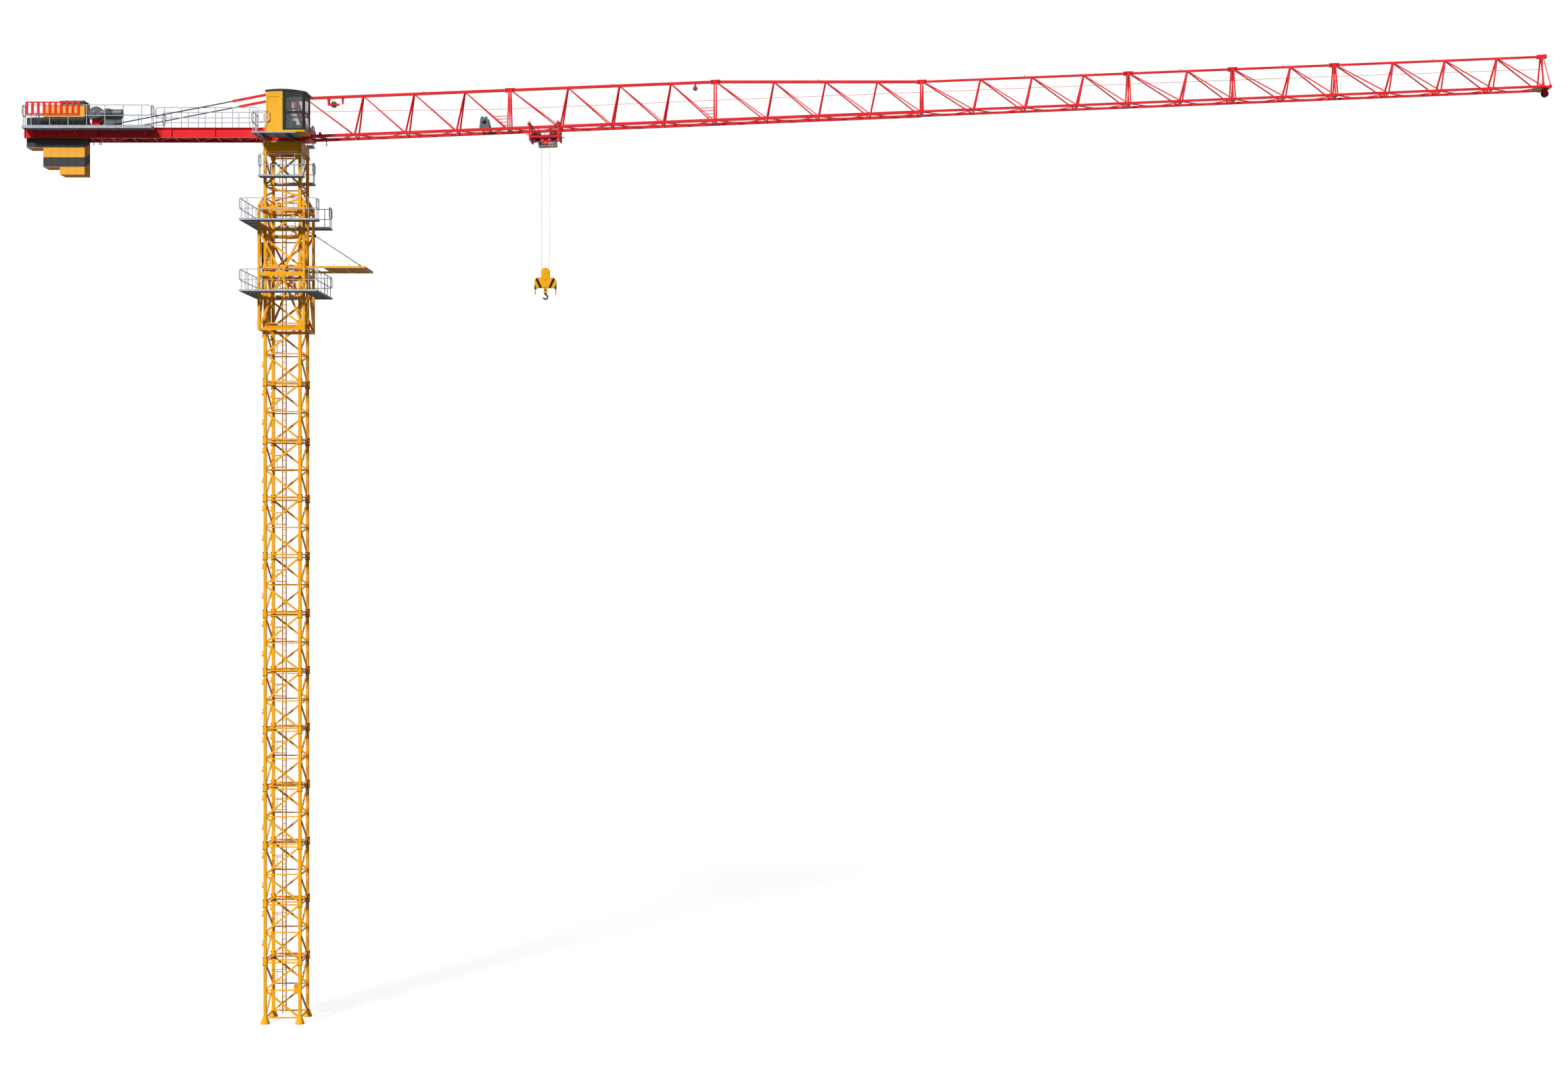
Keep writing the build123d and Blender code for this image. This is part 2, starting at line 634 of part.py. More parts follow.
head_lug = lug_x + joint_gap
block_half = 115.0
top_chords = []
joint_blocks = []
rails_front = []
rails_back = []
webs_front = []
webs_back = []
floors = []
for k in range(7):
    x0 = jib_joints[k] + joint_gap
    x1 = jib_joints[k + 1] - joint_gap
    size = inner_chord if k < 3 else outer_chord
    top_size = size - 3
    y_mid = rail_outer - size / 2
    h_mid = rail_top - size / 2
    top0 = head_lug if k == 0 else jib_joints[k] + block_half
    top1 = jib_joints[k + 1] - block_half
    start = at(jib_joints[k], 0, jib_depth(jib_joints[k]))
    end = at(jib_joints[k + 1], 0, jib_depth(jib_joints[k + 1]))
    rise = (end[2] - start[2]) / (end[0] - start[0])
    begin = top0 - 40
    top_start = (begin, 0, start[2] + (begin - start[0]) * rise)
    top = trimmed(bar(top_start, (end[0] + 40, 0, end[2] + 40 * rise), top_size), top0, top1)
    top_chords.append(top)
    block_low = (end[0] - 300, 0, end[2] - 300 * slope)
    block_high = (end[0] + 300, 0, end[2] + 300 * slope)
    block_bar = bar(block_low, block_high, inner_chord * 1.32, inner_chord * 1.42)
    block = trimmed(block_bar, end[0] - block_half + joint_gap, end[0] + block_half - joint_gap)
    joint_blocks.append(block)
    rail_front = trimmed(bar(at(x0 - 60, -y_mid, h_mid), at(x1 + 60, -y_mid, h_mid), size), x0, x1)
    rail_back = mirror(rail_front, Plane.XZ)
    rails_front.append(rail_front)
    rails_back.append(rail_back)
    bay = (jib_joints[k + 1] - jib_joints[k]) / jib_bays[k]
    last_foot = x1 - 25
    feet = [jib_joints[k] + bay * index for index in range(1, jib_bays[k])]
    if k == 0:
        feet = [last_foot - root_pitch * index for index in (3, 2, 1)]
    feet.append(last_foot)
    head_x = x0 + 25 if k else head_lug + 130
    head_point = at(head_x, -web_head_y, jib_depth(head_x))
    pieces = []
    if k:
        pieces.append(bar(at(head_x, -web_foot_y, 0), head_point, web_plate, web_bar))
    for foot_x in feet:
        foot_point = at(foot_x, -web_foot_y, 0)
        pieces.append(bar(head_point, foot_point, web_plate, web_tie))
        head_x = foot_x + web_lean if foot_x < last_foot else foot_x
        head_point = at(head_x, -web_head_y, jib_depth(head_x))
        pieces.append(bar(foot_point, head_point, web_plate, web_bar))
    web = trimmed(join(pieces), x0 if k else head_lug, x1) - rail_front - top - block
    if k:
        web = web - joint_blocks[k - 1]
    webs_front.append(web)
    webs_back.append(mirror(web, Plane.XZ))
    inner = rail_outer - size + 2
    floor_pieces = []
    crossings = [x0 + 20, *feet[:-1], x1 - 20]
    for cross_x in crossings:
        floor_pieces.append(bar(at(cross_x, -inner, -8), at(cross_x, inner, -8), 26))
    for cross_x, end_x in zip(crossings, crossings[1:]):
        middle_x = (cross_x + end_x) / 2
        floor_pieces.append(bar(at(cross_x, -inner, -8), at(middle_x, inner, -8), 24, 22))
        floor_pieces.append(bar(at(middle_x, inner, -8), at(end_x, -inner, -8), 24, 22))
    floor = trimmed(join(floor_pieces), x0, x1) - rail_front - rail_back - web - webs_back[-1]
    floors.append(floor)
save("jib_top_chord", [*top_chords, *joint_blocks])
save("jib_running_rails", [*rails_front, *rails_back])
save("jib_front_web", webs_front)
save("jib_back_web", webs_back)
save("jib_bottom_bracing", floors)

# Jib tip


def sheave(radius, bore, half):
    """Grooved wheel on the Y axis: the groove floor has the given radius."""
    rim = radius + half * 0.46
    floor = half * 0.2
    outline = [(bore, -half), (rim, -half), (radius, -floor), (radius, floor), (rim, half), (bore, half)]
    profile = Plane.XY * Polygon(*outline, align=None)
    return revolve(profile, Axis.Y)


tip_start = jib_joints[7] + joint_gap
tip_z = rail_z(tip_start)
tip_pieces = [box(tip_start, tip_start + 150, -rail_outer, rail_outer, tip_z - 30, tip_z + 20)]
for y in (-60, 40):
    tip_pieces.append(box(tip_start + 20, tip_start + 130, y, y + 20, tip_z - 170, tip_z - 10))
tip_pieces.append(rod((tip_start + 75, -50, tip_z - 120), (tip_start + 75, 50, tip_z - 120), 15))
save("jib_tip", [join(tip_pieces)])
tip_sheave = Pos(tip_start + 75, 0, tip_z - 120) * sheave(70, 15.4, 34)

# Rope sheaves hung from the top chord: the first on a lever, with a separate lug beyond it


def chord_under(x):
    """Height of the underside of the inner top chord, less the joint gap."""
    half = (inner_chord - 3) / 2 / math.cos(math.radians(slope_deg))
    return rail_z(x) + root_depth - half - joint_gap


def chord_lug(x, low, head, foot, y, thickness):
    """Tapered lug from the underside of the top chord down to a level."""
    outline = [(x - head, chord_under(x - head)), (x + head, chord_under(x + head))]
    outline += [(x + foot, low), (x - foot, low)]
    return Pos(0, y + thickness, 0) * plate(outline, thickness, Plane.XZ)


lever_x = jib_root_x + 505
lever_z = chord_under(lever_x) - 146
lever_plates = []
for y in (-34, 22):
    lever_plates.append(chord_lug(lever_x - 124, lever_z - 22, 35, 19, y, 12))
    lever_plates.append(box(lever_x - 146, lever_x + 132, y, y + 12, lever_z - 20, lever_z + 20))
for x in (lever_x - 124, lever_x):
    lever_plates.append(rod((x, -30, lever_z), (x, 30, lever_z), 10))
far_lug = chord_lug(lever_x + 213, lever_z + 12, 30, 16, -20, 40)
small_x = jib_joints[2] - 485
small_z = chord_under(small_x) - 110
small_plates = [chord_lug(small_x, small_z - 25, 26, 18, y, 12) for y in (-34, 22)]
small_plates.append(rod((small_x, -30, small_z), (small_x, 30, small_z), 10))
hangers = [join(lever_plates), far_lug, join(small_plates)]
sheaves = [Pos(lever_x, 0, lever_z) * sheave(66, 10.4, 20), Pos(small_x, 0, small_z) * sheave(44, 10.4, 20)]
save("jib_sheave_hangers", hangers)
save("jib_rope_sheaves", [*sheaves, tip_sheave])

# Trolley winch on the running rails of the first section
winch_x = jib_joints[1] - 585
winch_reach = rail_outer - 37
winch_z = rail_z(winch_x + 120) + rail_top / math.cos(math.radians(slope_deg)) + joint_gap
winch_pieces = []
horn = [(winch_x + 62, winch_z + 285), (winch_x + 40, winch_z + 300), (winch_x + 16, winch_z + 272)]
horn += [(winch_x - 32, winch_z + 272), (winch_x - 56, winch_z + 300), (winch_x - 82, winch_z + 280)]
winch_outline = [(winch_x - 124, winch_z), (winch_x + 124, winch_z), *horn, (winch_x - 106, winch_z + 236)]
for y in (-170, 200):
    winch_pieces.append(Pos(0, y, 0) * plate(winch_outline, 30, Plane.XZ))
winch_pieces.append(rod((winch_x - 40, -265, winch_z + 210), (winch_x - 40, -199, winch_z + 210), 52))
for x in (winch_x - 120, winch_x + 80):
    winch_pieces.append(box(x, x + 40, -winch_reach, winch_reach, winch_z, winch_z + 30))
drum = rod((winch_x, -169.7, winch_z + 160), (winch_x, 169.7, winch_z + 160), 90)
save("trolley_winch", [join(winch_pieces), drum])

# Counter jib
flange = girder_flange
girder_web = 7.0
girder_skin = 18.0
girders = []
for sy in (-1, 1):
    middle_y = sy * (girder_outer - flange / 2)
    low_y = middle_y - flange / 2
    high_y = middle_y + flange / 2
    lower = box(counter_end, counter_start, low_y, high_y, girder_bottom, girder_bottom + girder_skin)
    upper = box(counter_end, counter_start, low_y, high_y, girder_top - girder_skin, girder_top)
    web_low = middle_y - girder_web
    web = box(counter_end, counter_start, web_low, middle_y + girder_web, girder_bottom, girder_top)
    girders.append(join([lower, upper, web]))
save("counter_jib_girders", girders)
inner_y = girder_outer - flange / 2 - girder_web - joint_gap
brace_z = girder_bottom + girder_skin + joint_gap + 20
bracing_end = counter_start - 120
ballast_start = counter_end + 30
ballast_end = ballast_start + slab_thickness * 7
bracing_start = ballast_end + 120
bracing_pieces = []
bay_count = 8
bay_length = (bracing_end - bracing_start) / bay_count
for index in range(bay_count + 1):
    x = bracing_start + bay_length * index
    bracing_pieces.append(bar((x, -inner_y, brace_z), (x, inner_y, brace_z), 44, 40))
    if index < bay_count:
        sign = 1 if index % 2 else -1
        start = (x, sign * inner_y, brace_z)
        end = (x + bay_length, -sign * inner_y, brace_z)
        bracing_pieces.append(bar(start, end, 36, 36))
bracing = join(bracing_pieces) & box(counter_end, counter_start, -inner_y, inner_y, girder_bottom, girder_top)
end_low = girder_bottom + girder_skin + 12
end_beam = box(counter_end + 4, counter_end + 26, -inner_y, inner_y, end_low, girder_top - girder_skin - 12)
save("counter_jib_bracing", [bracing, end_beam])
walk_inner = girder_outer + joint_gap
walk_outer = walk_inner + walkway_width
walk_start = counter_end + 50
walk_end = walk_start + counter_length * 0.54
line = walk_outer - 10
walks = []
walk_rails = []
for sy in (-1, 1):
    low, high = sorted((sy * walk_inner, sy * walk_outer))
    walks.append(deck_pan(walk_start, walk_end, low, high, girder_top, 70))
    first = walk_start + 10
    last = walk_end - 10
    walk_rails.append(railing((first, sy * line), (last, sy * line), girder_top, 7))
    for x in (first, last):
        walk_rails.append(railing((x, sy * (walk_inner + 30)), (x, sy * (line - 20)), girder_top, 2))
    rail_y = sy * (girder_outer - 25)
    walk_rails.append(railing((walk_end + 20, rail_y), (bracing_end, rail_y), girder_top, 6))
deck_low = girder_top - girder_skin - 42
winch_end = ballast_end + 975
walks.append(box(winch_end, bracing_end, -inner_y, inner_y, deck_low, girder_top - girder_skin - 2))
save("counter_jib_walkways", [*walks, *walk_rails])

# Sign frame of upright slats between two rails, clamped to the near railing
sign_y = -line - rail_size / 2 - joint_gap
sign_left = walk_start + 100
sign_length = 1300.0
sign_low = girder_top + 250
sign_height = 310.0
sign = box(sign_left, sign_left + sign_length, sign_y - 22, sign_y, sign_low, sign_low + sign_height)
slat_count = 9
slat_pitch = (sign_length - 60) / slat_count
for index in range(slat_count):
    slot_left = sign_left + 60 + slat_pitch * index
    slot_right = slot_left + slat_pitch - 60
    sign -= box(slot_left, slot_right, sign_y - 23, sign_y + 1, sign_low + 30, sign_low + sign_height - 30)
save("sign_board", [sign])

# Counterweights: slabs hung between the girders on cross bars
slab_half = inner_y - 67
slabs = []
groups = [(0, 2, 470.0, 260.0), (2, 2, 935.0, 550.0), (4, 3, 1115.0, 665.0)]
for first, count, below, above in groups:
    for index in range(first, first + count):
        x = ballast_start + slab_thickness * index
        body = box(x, x + slab_thickness - 4, -slab_half, slab_half, girder_top - below, girder_top + above)
        lug_low = girder_top + joint_gap
        lug_half = girder_outer - 15
        lug_left = x + slab_thickness * 0.35
        lug_right = x + slab_thickness * 0.65
        lug = box(lug_left, lug_right, -lug_half, lug_half, lug_low, lug_low + 60)
        slabs.append(body + lug)
save("counterweights", slabs)

# Hoist winch
base_low = girder_top + joint_gap
base_y = girder_outer - 55
drum_x = ballast_end + 265
drum_half = 184.7
drum_radius = 130.0
cheek = 30.0
winch_axis = base_low + 350
motor_end = winch_end - 35
base_start = drum_x - drum_radius - 40
winch_base = []
for y in (-base_y, base_y):
    winch_base.append(box(base_start, winch_end, y - 30, y + 30, base_low, base_low + 60))
for x in (drum_x - 90, drum_x + 40, motor_end - 50):
    winch_base.append(box(x, x + 50, -base_y, base_y, base_low, base_low + 50))
for y in (-drum_half - joint_gap - cheek, drum_half + joint_gap):
    winch_base.append(box(drum_x - 90, drum_x + 90, y, y + cheek, base_low, winch_axis))
save("hoist_winch_frame", [join(winch_base)])
drum = rod((drum_x, -drum_half, winch_axis), (drum_x, drum_half, winch_axis), drum_radius)
for y in (-drum_half, drum_half - 12):
    drum = drum + rod((drum_x, y, winch_axis), (drum_x, y + 12, winch_axis), drum_radius + 55)
save("hoist_winch_drum", [drum])
box_back = -drum_half - cheek - joint_gap * 2
box_front = box_back - 115
gearbox = rod((drum_x, box_front, winch_axis), (drum_x, box_back, winch_axis), drum_radius + 5)
gearbox = gearbox + box(drum_x, drum_x + 170, box_front, box_back, winch_axis - 100, winch_axis + 100)
motor_radius = 105.0
motor_y = -drum_half - motor_radius - 10
motor_start = drum_x + 169
motor_z = winch_axis - 15
cowl_start = motor_end - 210
motor = rod((motor_start, motor_y, motor_z), (cowl_start, motor_y, motor_z), motor_radius - 12)
motor = motor + rod((cowl_start, motor_y, motor_z), (motor_end, motor_y, motor_z), motor_radius)
motor = motor + box(motor_start + 90, motor_start + 210, motor_y - 55, motor_y + 55, motor_z, motor_z + 118)
stand_low = base_low + 60 + joint_gap
stand = box(motor_start + 80, motor_end - 30, -base_y - 29, -base_y + 29, stand_low, winch_axis - 60)
save("hoist_winch_motor", [gearbox + motor + stand])

# Tie bars from the tower head to the counter jib
tie_y = beam_end + joint_gap + 18
tie_top = (80.0, head_top - 35)
tie_foot = (ballast_end + 570, girder_top + 45)
tie_slope = (tie_top[1] - tie_foot[1]) / (tie_top[0] - tie_foot[0])
tie_split = tie_foot[0] + (tie_top[0] - tie_foot[0]) * 0.7
split_z = tie_foot[1] + (tie_split - tie_foot[0]) * tie_slope
bars = []
rods = []
for sy in (-1, 1):
    y = sy * tie_y
    tie_bar = bar((tie_split, y, split_z), (tie_top[0], y, tie_top[1]), 36, 56)
    bars.append(tie_bar + rod((tie_top[0], y - 18, tie_top[1]), (tie_top[0], y + 18, tie_top[1]), 46))
    rod_end = (tie_split - joint_gap, y, split_z - joint_gap * tie_slope)
    lower = rod((tie_foot[0], y, tie_foot[1]), rod_end, 14)
    low, high = sorted((sy * (tie_y - 13), sy * girder_outer))
    lug = box(tie_foot[0] - 40, tie_foot[0] + 40, low, high, girder_top + joint_gap, girder_top + 65)
    eye = rod((tie_foot[0], y - 13, tie_foot[1]), (tie_foot[0], y + 13, tie_foot[1]), 38)
    rods.append(lower + lug + eye)
save("counter_jib_tie_bars", bars)
save("counter_jib_tie_rods", rods)

# Trolley, drawn level and then tilted to the running rails
trolley_place = Pos(trolley_x, 0, rail_z(trolley_x)) * Rot(0, -slope_deg, 0)
arm_u = arm_spacing / 2
arm_inner = rail_outer + 5.5
wheel_axis = rail_top + wheel_radius + running_gap
arm_outer = arm_inner + 24
frame_parts = []
for su in (-1, 1):
    for sy in (-1, 1):
        low, high = sorted((sy * arm_inner, sy * arm_outer))
        arm_low = trolley_axle - 130
        arm_top = wheel_axis + wheel_radius + 15
        frame_parts.append(box(su * arm_u - 23, su * arm_u + 23, low, high, arm_low, arm_top))
        buffer_y = (low + high) / 2
        buffer_start = (su * (arm_u + 20), buffer_y, trolley_axle)
        frame_parts.append(rod(buffer_start, (su * (arm_u + 85), buffer_y, trolley_axle), 11))
    left = su * arm_u - 23
    right = su * arm_u + 23
    frame_parts.append(box(left, right, -arm_inner, arm_inner, trolley_axle - 30, trolley_axle + 20))
    frame_parts.append(box(left + 3, right - 3, -arm_inner, arm_inner, arm_low, trolley_axle - 95))
for sy in (-1, 1):
    low, high = sorted((sy * arm_inner, sy * arm_outer))
    frame_parts.append(box(-arm_u, arm_u, low, high, trolley_axle - 80, trolley_axle - 40))
    low, high = sorted((sy * 36, sy * 48))
    frame_parts.append(box(-arm_u, arm_u, low, high, trolley_axle - 25, trolley_axle + 25))
sheave_u = rope_half + rope_radius + joint_gap + trolley_sheave_radius
for su in (-1, 1):
    frame_parts.append(rod((su * sheave_u, -40, trolley_axle), (su * sheave_u, 40, trolley_axle), 16))
save("trolley_frame", [trolley_place * join(frame_parts)])
wheels = []
for su in (-1, 1):
    for sy in (-1, 1):
        start = (su * arm_u, sy * (rail_outer - 23), wheel_axis)
        end = (su * arm_u, sy * (arm_inner - joint_gap), wheel_axis)
        wheels.append(trolley_place * rod(start, end, wheel_radius))
save("trolley_wheels", wheels)


rope_wheels = []
for su in (-1, 1):
    wheel = sheave(trolley_sheave_radius, 16.4, 30)
    rope_wheels.append(trolley_place * (Pos(su * sheave_u, 0, trolley_axle) * wheel))
save("trolley_sheaves", rope_wheels)
basket_near = arm_outer + joint_gap
basket_far = basket_near + 290
basket_half = arm_u - 127
basket_low = trolley_axle - 175
basket_top = wheel_axis + 12
tube = 16.0
basket_parts = [box(-basket_half, basket_half, basket_near + tube, basket_far, basket_low, basket_low + tube)]
hang_low = trolley_axle - 70
hang_high = trolley_axle - 45
basket_parts.append(box(-arm_u - 18, arm_u + 18, basket_near, basket_near + tube, hang_low, hang_high))
for u in (-basket_half, basket_half - tube):
    for y in (basket_near, basket_far - tube):
        basket_parts.append(box(u, u + tube, y, y + tube, basket_low, basket_top))
    for z in (basket_low, basket_low + 185, basket_top - tube):
        basket_parts.append(box(u, u + tube, basket_near, basket_far, z, z + tube))
for z in (basket_low + 185, basket_top - tube):
    basket_parts.append(box(-basket_half, basket_half, basket_far - tube, basket_far, z, z + tube))
save("trolley_basket", [trolley_place * join(basket_parts)])

# Hook block, its sheave, the hook and the hoist falls
hook_x = trolley_x - trolley_axle * math.sin(math.radians(slope_deg))
hook_top = rail_z(trolley_x) - hoist_drop
head_half = rope_half + 3
block_half_width = head_half + 164
block_foot = -480.0
right_half = [(head_half - 44, 0), (head_half, -86), (head_half, -234), (block_half_width - 70, -234)]
right_half += [(block_half_width, -292), (block_half_width, -505), (block_half_width - 4, -520)]
right_half += [(block_half_width - 4, -642), (block_half_width - 26, -642), (block_half_width - 26, -505)]
right_half.append((block_half_width - 62, block_foot))
left_half = [(-x, z) for x, z in reversed(right_half)]
cheek_outline = [*right_half, *left_half]
side_plate = plate(cheek_outline, 16, Plane.XZ)
cheeks = [Pos(0, y, 0) * side_plate for y in (52, -36)]
sheave_drop = -rope_half - 10
crosshead = box(-70, 70, -40, 40, block_foot, block_foot + 80)
shank_top = block_foot - 124
swivel_outline = [(-34, block_foot), (34, block_foot), (42, shank_top), (-42, shank_top)]
swivel = Pos(0, 36, 0) * plate(swivel_outline, 72, Plane.XZ)
axle = rod((0, -40, sheave_drop), (0, 40, sheave_drop), 16)
spreader = [box(x, x + 30, -40, 40, -380, -300) for x in (-200, 170)]
hook_frame = Pos(hook_x, 0, hook_top)
save("hook_block", [hook_frame * join([*cheeks, crosshead, swivel, axle, *spreader])])
block_sheave = sheave(rope_half - rope_radius - joint_gap, 16.4, 30)
save("hook_block_sheave", [hook_frame * (Pos(0, 0, sheave_drop) * block_sheave)])
hook_ring = 52.0
hook_thick = 19.0
hook_drop = -770.0 + hook_ring + hook_thick
shank = rod((0, 0, hook_drop + hook_ring - 10), (0, 0, shank_top - running_gap), 22)
nut = rod((0, 0, shank_top - 18), (0, 0, shank_top - running_gap), 32)
circle = Plane.YZ * Pos(0, hook_ring) * Circle(hook_thick)
curl = revolve(circle, Axis.Y, 255)
hook = join([shank, nut]) + Pos(0, 0, hook_drop) * curl
save("hook", [hook_frame * hook])
falls = []
for su in (-1, 1):
    x = hook_x + su * rope_half
    top = rail_z(trolley_x) + trolley_axle * math.cos(math.radians(slope_deg)) + su * sheave_u * slope
    falls.append(rod((x, 0, hook_top + sheave_drop), (x, 0, top), rope_radius))
save("hoist_ropes", falls)
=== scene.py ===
import math

import bmesh
import bpy
import numpy as np
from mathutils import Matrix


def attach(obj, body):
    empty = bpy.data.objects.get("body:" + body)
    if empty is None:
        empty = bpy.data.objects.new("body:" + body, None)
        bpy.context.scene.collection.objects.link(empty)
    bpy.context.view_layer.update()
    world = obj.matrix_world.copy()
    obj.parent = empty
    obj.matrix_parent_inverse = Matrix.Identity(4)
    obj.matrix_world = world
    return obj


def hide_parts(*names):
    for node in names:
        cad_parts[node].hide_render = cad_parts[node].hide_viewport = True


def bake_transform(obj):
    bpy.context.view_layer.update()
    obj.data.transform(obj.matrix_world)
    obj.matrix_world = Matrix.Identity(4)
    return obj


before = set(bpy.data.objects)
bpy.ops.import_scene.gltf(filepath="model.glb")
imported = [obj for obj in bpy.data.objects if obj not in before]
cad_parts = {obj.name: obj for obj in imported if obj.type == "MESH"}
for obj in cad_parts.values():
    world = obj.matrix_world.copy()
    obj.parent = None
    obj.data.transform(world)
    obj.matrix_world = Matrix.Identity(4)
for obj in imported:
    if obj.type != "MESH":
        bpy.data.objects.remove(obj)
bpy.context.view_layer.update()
scene = bpy.context.scene
scene.view_settings.view_transform = "Standard"

# Metres. Places are written from the mast axis, which stands at MAST_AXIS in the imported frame.
MAST_AXIS = np.array([0.4175, 0.4175, 0.0])
CAMERA_PLACE = np.array([12.05, -52.75, 11.62])
CAMERA_LENS_MM = 50.0
CAMERA_SENSOR_MM = 36.0
FLOOR_REACH = 900.0
FLOOR_DROP = 0.002
FLOOR_GREY = 0.16
FLOOR_GLOW = 0.88
KEY_STRENGTH = 3.85
KEY_SPREAD = math.radians(9.0)
KEY_TILT = math.radians(52.0)
KEY_TURN = math.radians(-28.0)
WORLD_FILL = 0.13
GLOSS_SHARE = 0.35


class Socket:
    """A shader socket that takes part in Python sums. Each operator adds one Math node to the tree."""

    def __init__(self, tree, socket):
        self.tree = tree
        self.socket = socket

    def node(self, kind, settings=None, **values):
        """Adds a node, sets its settings, then fills its inputs, by name or _number, with values or links."""
        made = self.tree.nodes.new(kind)
        for name, value in (settings or {}).items():
            setattr(made, name, value)
        for name, value in values.items():
            place = int(name[1:]) if name[0] == "_" else name.replace("_", " ")
            if isinstance(value, Socket):
                self.tree.links.new(value.socket, made.inputs[place])
            else:
                made.inputs[place].default_value = value
        return made

    def out(self, kind, settings=None, output=0, **values):
        """Adds a node and gives one of its outputs, ready for further sums."""
        return Socket(self.tree, self.node(kind, settings, **values).outputs[output])

    def math(self, operation, *values):
        """One Math node, whose inputs take the values in turn."""
        inputs = {f"_{i}": value for i, value in enumerate(values)}
        return self.out("ShaderNodeMath", {"operation": operation}, **inputs)

    def __add__(self, other):
        return self.math("ADD", self, other)

    def __radd__(self, other):
        return self.math("ADD", other, self)

    def __sub__(self, other):
        return self.math("SUBTRACT", self, other)

    def __rsub__(self, other):
        return self.math("SUBTRACT", other, self)

    def __mul__(self, other):
        return self.math("MULTIPLY", self, other)

    def __rmul__(self, other):
        return self.math("MULTIPLY", other, self)

    def __truediv__(self, other):
        return self.math("DIVIDE", self, other)

    def __gt__(self, other):
        return self.math("GREATER_THAN", self, other)

    def __lt__(self, other):
        return self.math("LESS_THAN", self, other)

    def step(self, low, high):
        """0 below low, 1 above high, and a smooth rise between them."""
        return self.out("ShaderNodeMapRange", {"interpolation_type": "SMOOTHSTEP"}, output=0,
                        Value=self, From_Min=low, From_Max=high)

    def parts(self):
        """The x, y and z of a vector."""
        split = self.node("ShaderNodeSeparateXYZ", Vector=self)
        return [Socket(self.tree, split.outputs[i]) for i in range(3)]

    def mix(self, first, second):
        """Colour first where this value is 0, second where it is 1."""
        return self.out("ShaderNodeMix", {"data_type": "RGBA"}, output=2, _0=self, _6=first, _7=second)

    def noise(self, scale, detail=4.0, roughness=0.55):
        """Soft random values from 0 to 1 over these places."""
        return self.out("ShaderNodeTexNoise", Vector=self, Scale=scale, Detail=detail, Roughness=roughness)

    def stretched(self, x, y, z):
        """These places with each axis scaled by itself."""
        return self.out("ShaderNodeMapping", Vector=self, Scale=(x, y, z))


def finish(name, metallic=0.0, coat=0.0, alpha=1.0, specular=0.5, roughness=0.5):
    """A new material, its tree's Object coordinates, and a helper that links sockets to its shader."""
    made = bpy.data.materials.new(name)
    made.use_nodes = True
    tree = made.node_tree
    shader = tree.nodes["Principled BSDF"]
    shader.inputs["Metallic"].default_value = metallic
    shader.inputs["Roughness"].default_value = roughness
    shader.inputs["Coat Weight"].default_value = coat
    shader.inputs["Coat Roughness"].default_value = 0.12
    shader.inputs["Specular IOR Level"].default_value = specular
    shader.inputs["Alpha"].default_value = alpha
    places = Socket(tree, tree.nodes.new("ShaderNodeTexCoord").outputs["Object"])

    def feed(**sockets):
        for socket, value in sockets.items():
            tree.links.new(value.socket, shader.inputs[socket.replace("_", " ")])

    return made, places, feed


def bumped(places, height, strength, distance):
    """A normal that leans with the slope of a height."""
    return places.out("ShaderNodeBump", Height=height, Strength=strength, Distance=distance)


def within(places, low, high):
    """1 inside the box between two corners and 0 outside it."""
    inside = 1.0
    for axis, near, far in zip(places.parts(), low, high):
        inside = (axis > near) * (axis < far) * inside
    return inside


def paint(name, colour, worn, dust, coat=0.05, pattern=None):
    """Sprayed paint: a slow drift of colour, pale dust in soft streaks, worn specks and orange peel.
    A pattern gives a mask and the second colour that is painted there."""
    made, places, feed = finish(name, coat=coat, specular=0.2)
    drift = places.noise(1.3, 3.0)
    streaks = places.stretched(9.0, 9.0, 0.7).noise(1.0, 5.0)
    dusty = (streaks * drift).step(0.22, 0.48) * 0.10
    specks = places.noise(34.0, 6.0, 0.7).step(0.69, 0.74)
    shade = tuple(c * 0.90 for c in colour)
    base = drift.step(0.3, 0.7).mix((*shade, 1), (*colour, 1))
    base = dusty.mix(base, (*dust, 1))
    base = (specks * 0.6).mix(base, (*worn, 1))
    if pattern:
        mask, second = pattern(places)
        base = mask.mix(base, (*second, 1))
    feed(Base_Color=base, Roughness=0.36 + dusty * 1.2 + specks * 0.25,
         Normal=bumped(places, places.noise(160.0, 2.0), 0.06, 0.002))
    return made


def cab_lining(places):
    """Grey lining on every face that looks into the cab."""
    low, high = CAB_LOW + CAB_SKIN + MAST_AXIS, CAB_HIGH - CAB_SKIN + MAST_AXIS
    return within(places, low, high), LINING_GREY


def block_bars(places):
    """Black bars on the hook block: bands of |x| less a share of the height, so that they lean outwards."""
    x, _, z = places.parts()
    height = z - BLOCK_FOOT
    away = x - (HOOK_X + MAST_AXIS[0])
    lean = away.math("ABSOLUTE", away) - height * BAR_LEAN
    inner, outer, corner = BAR_EDGES
    bars = (lean > inner) * (lean < outer) + (lean > corner)
    return bars * (height > BAR_FOOT), BAR_BLACK


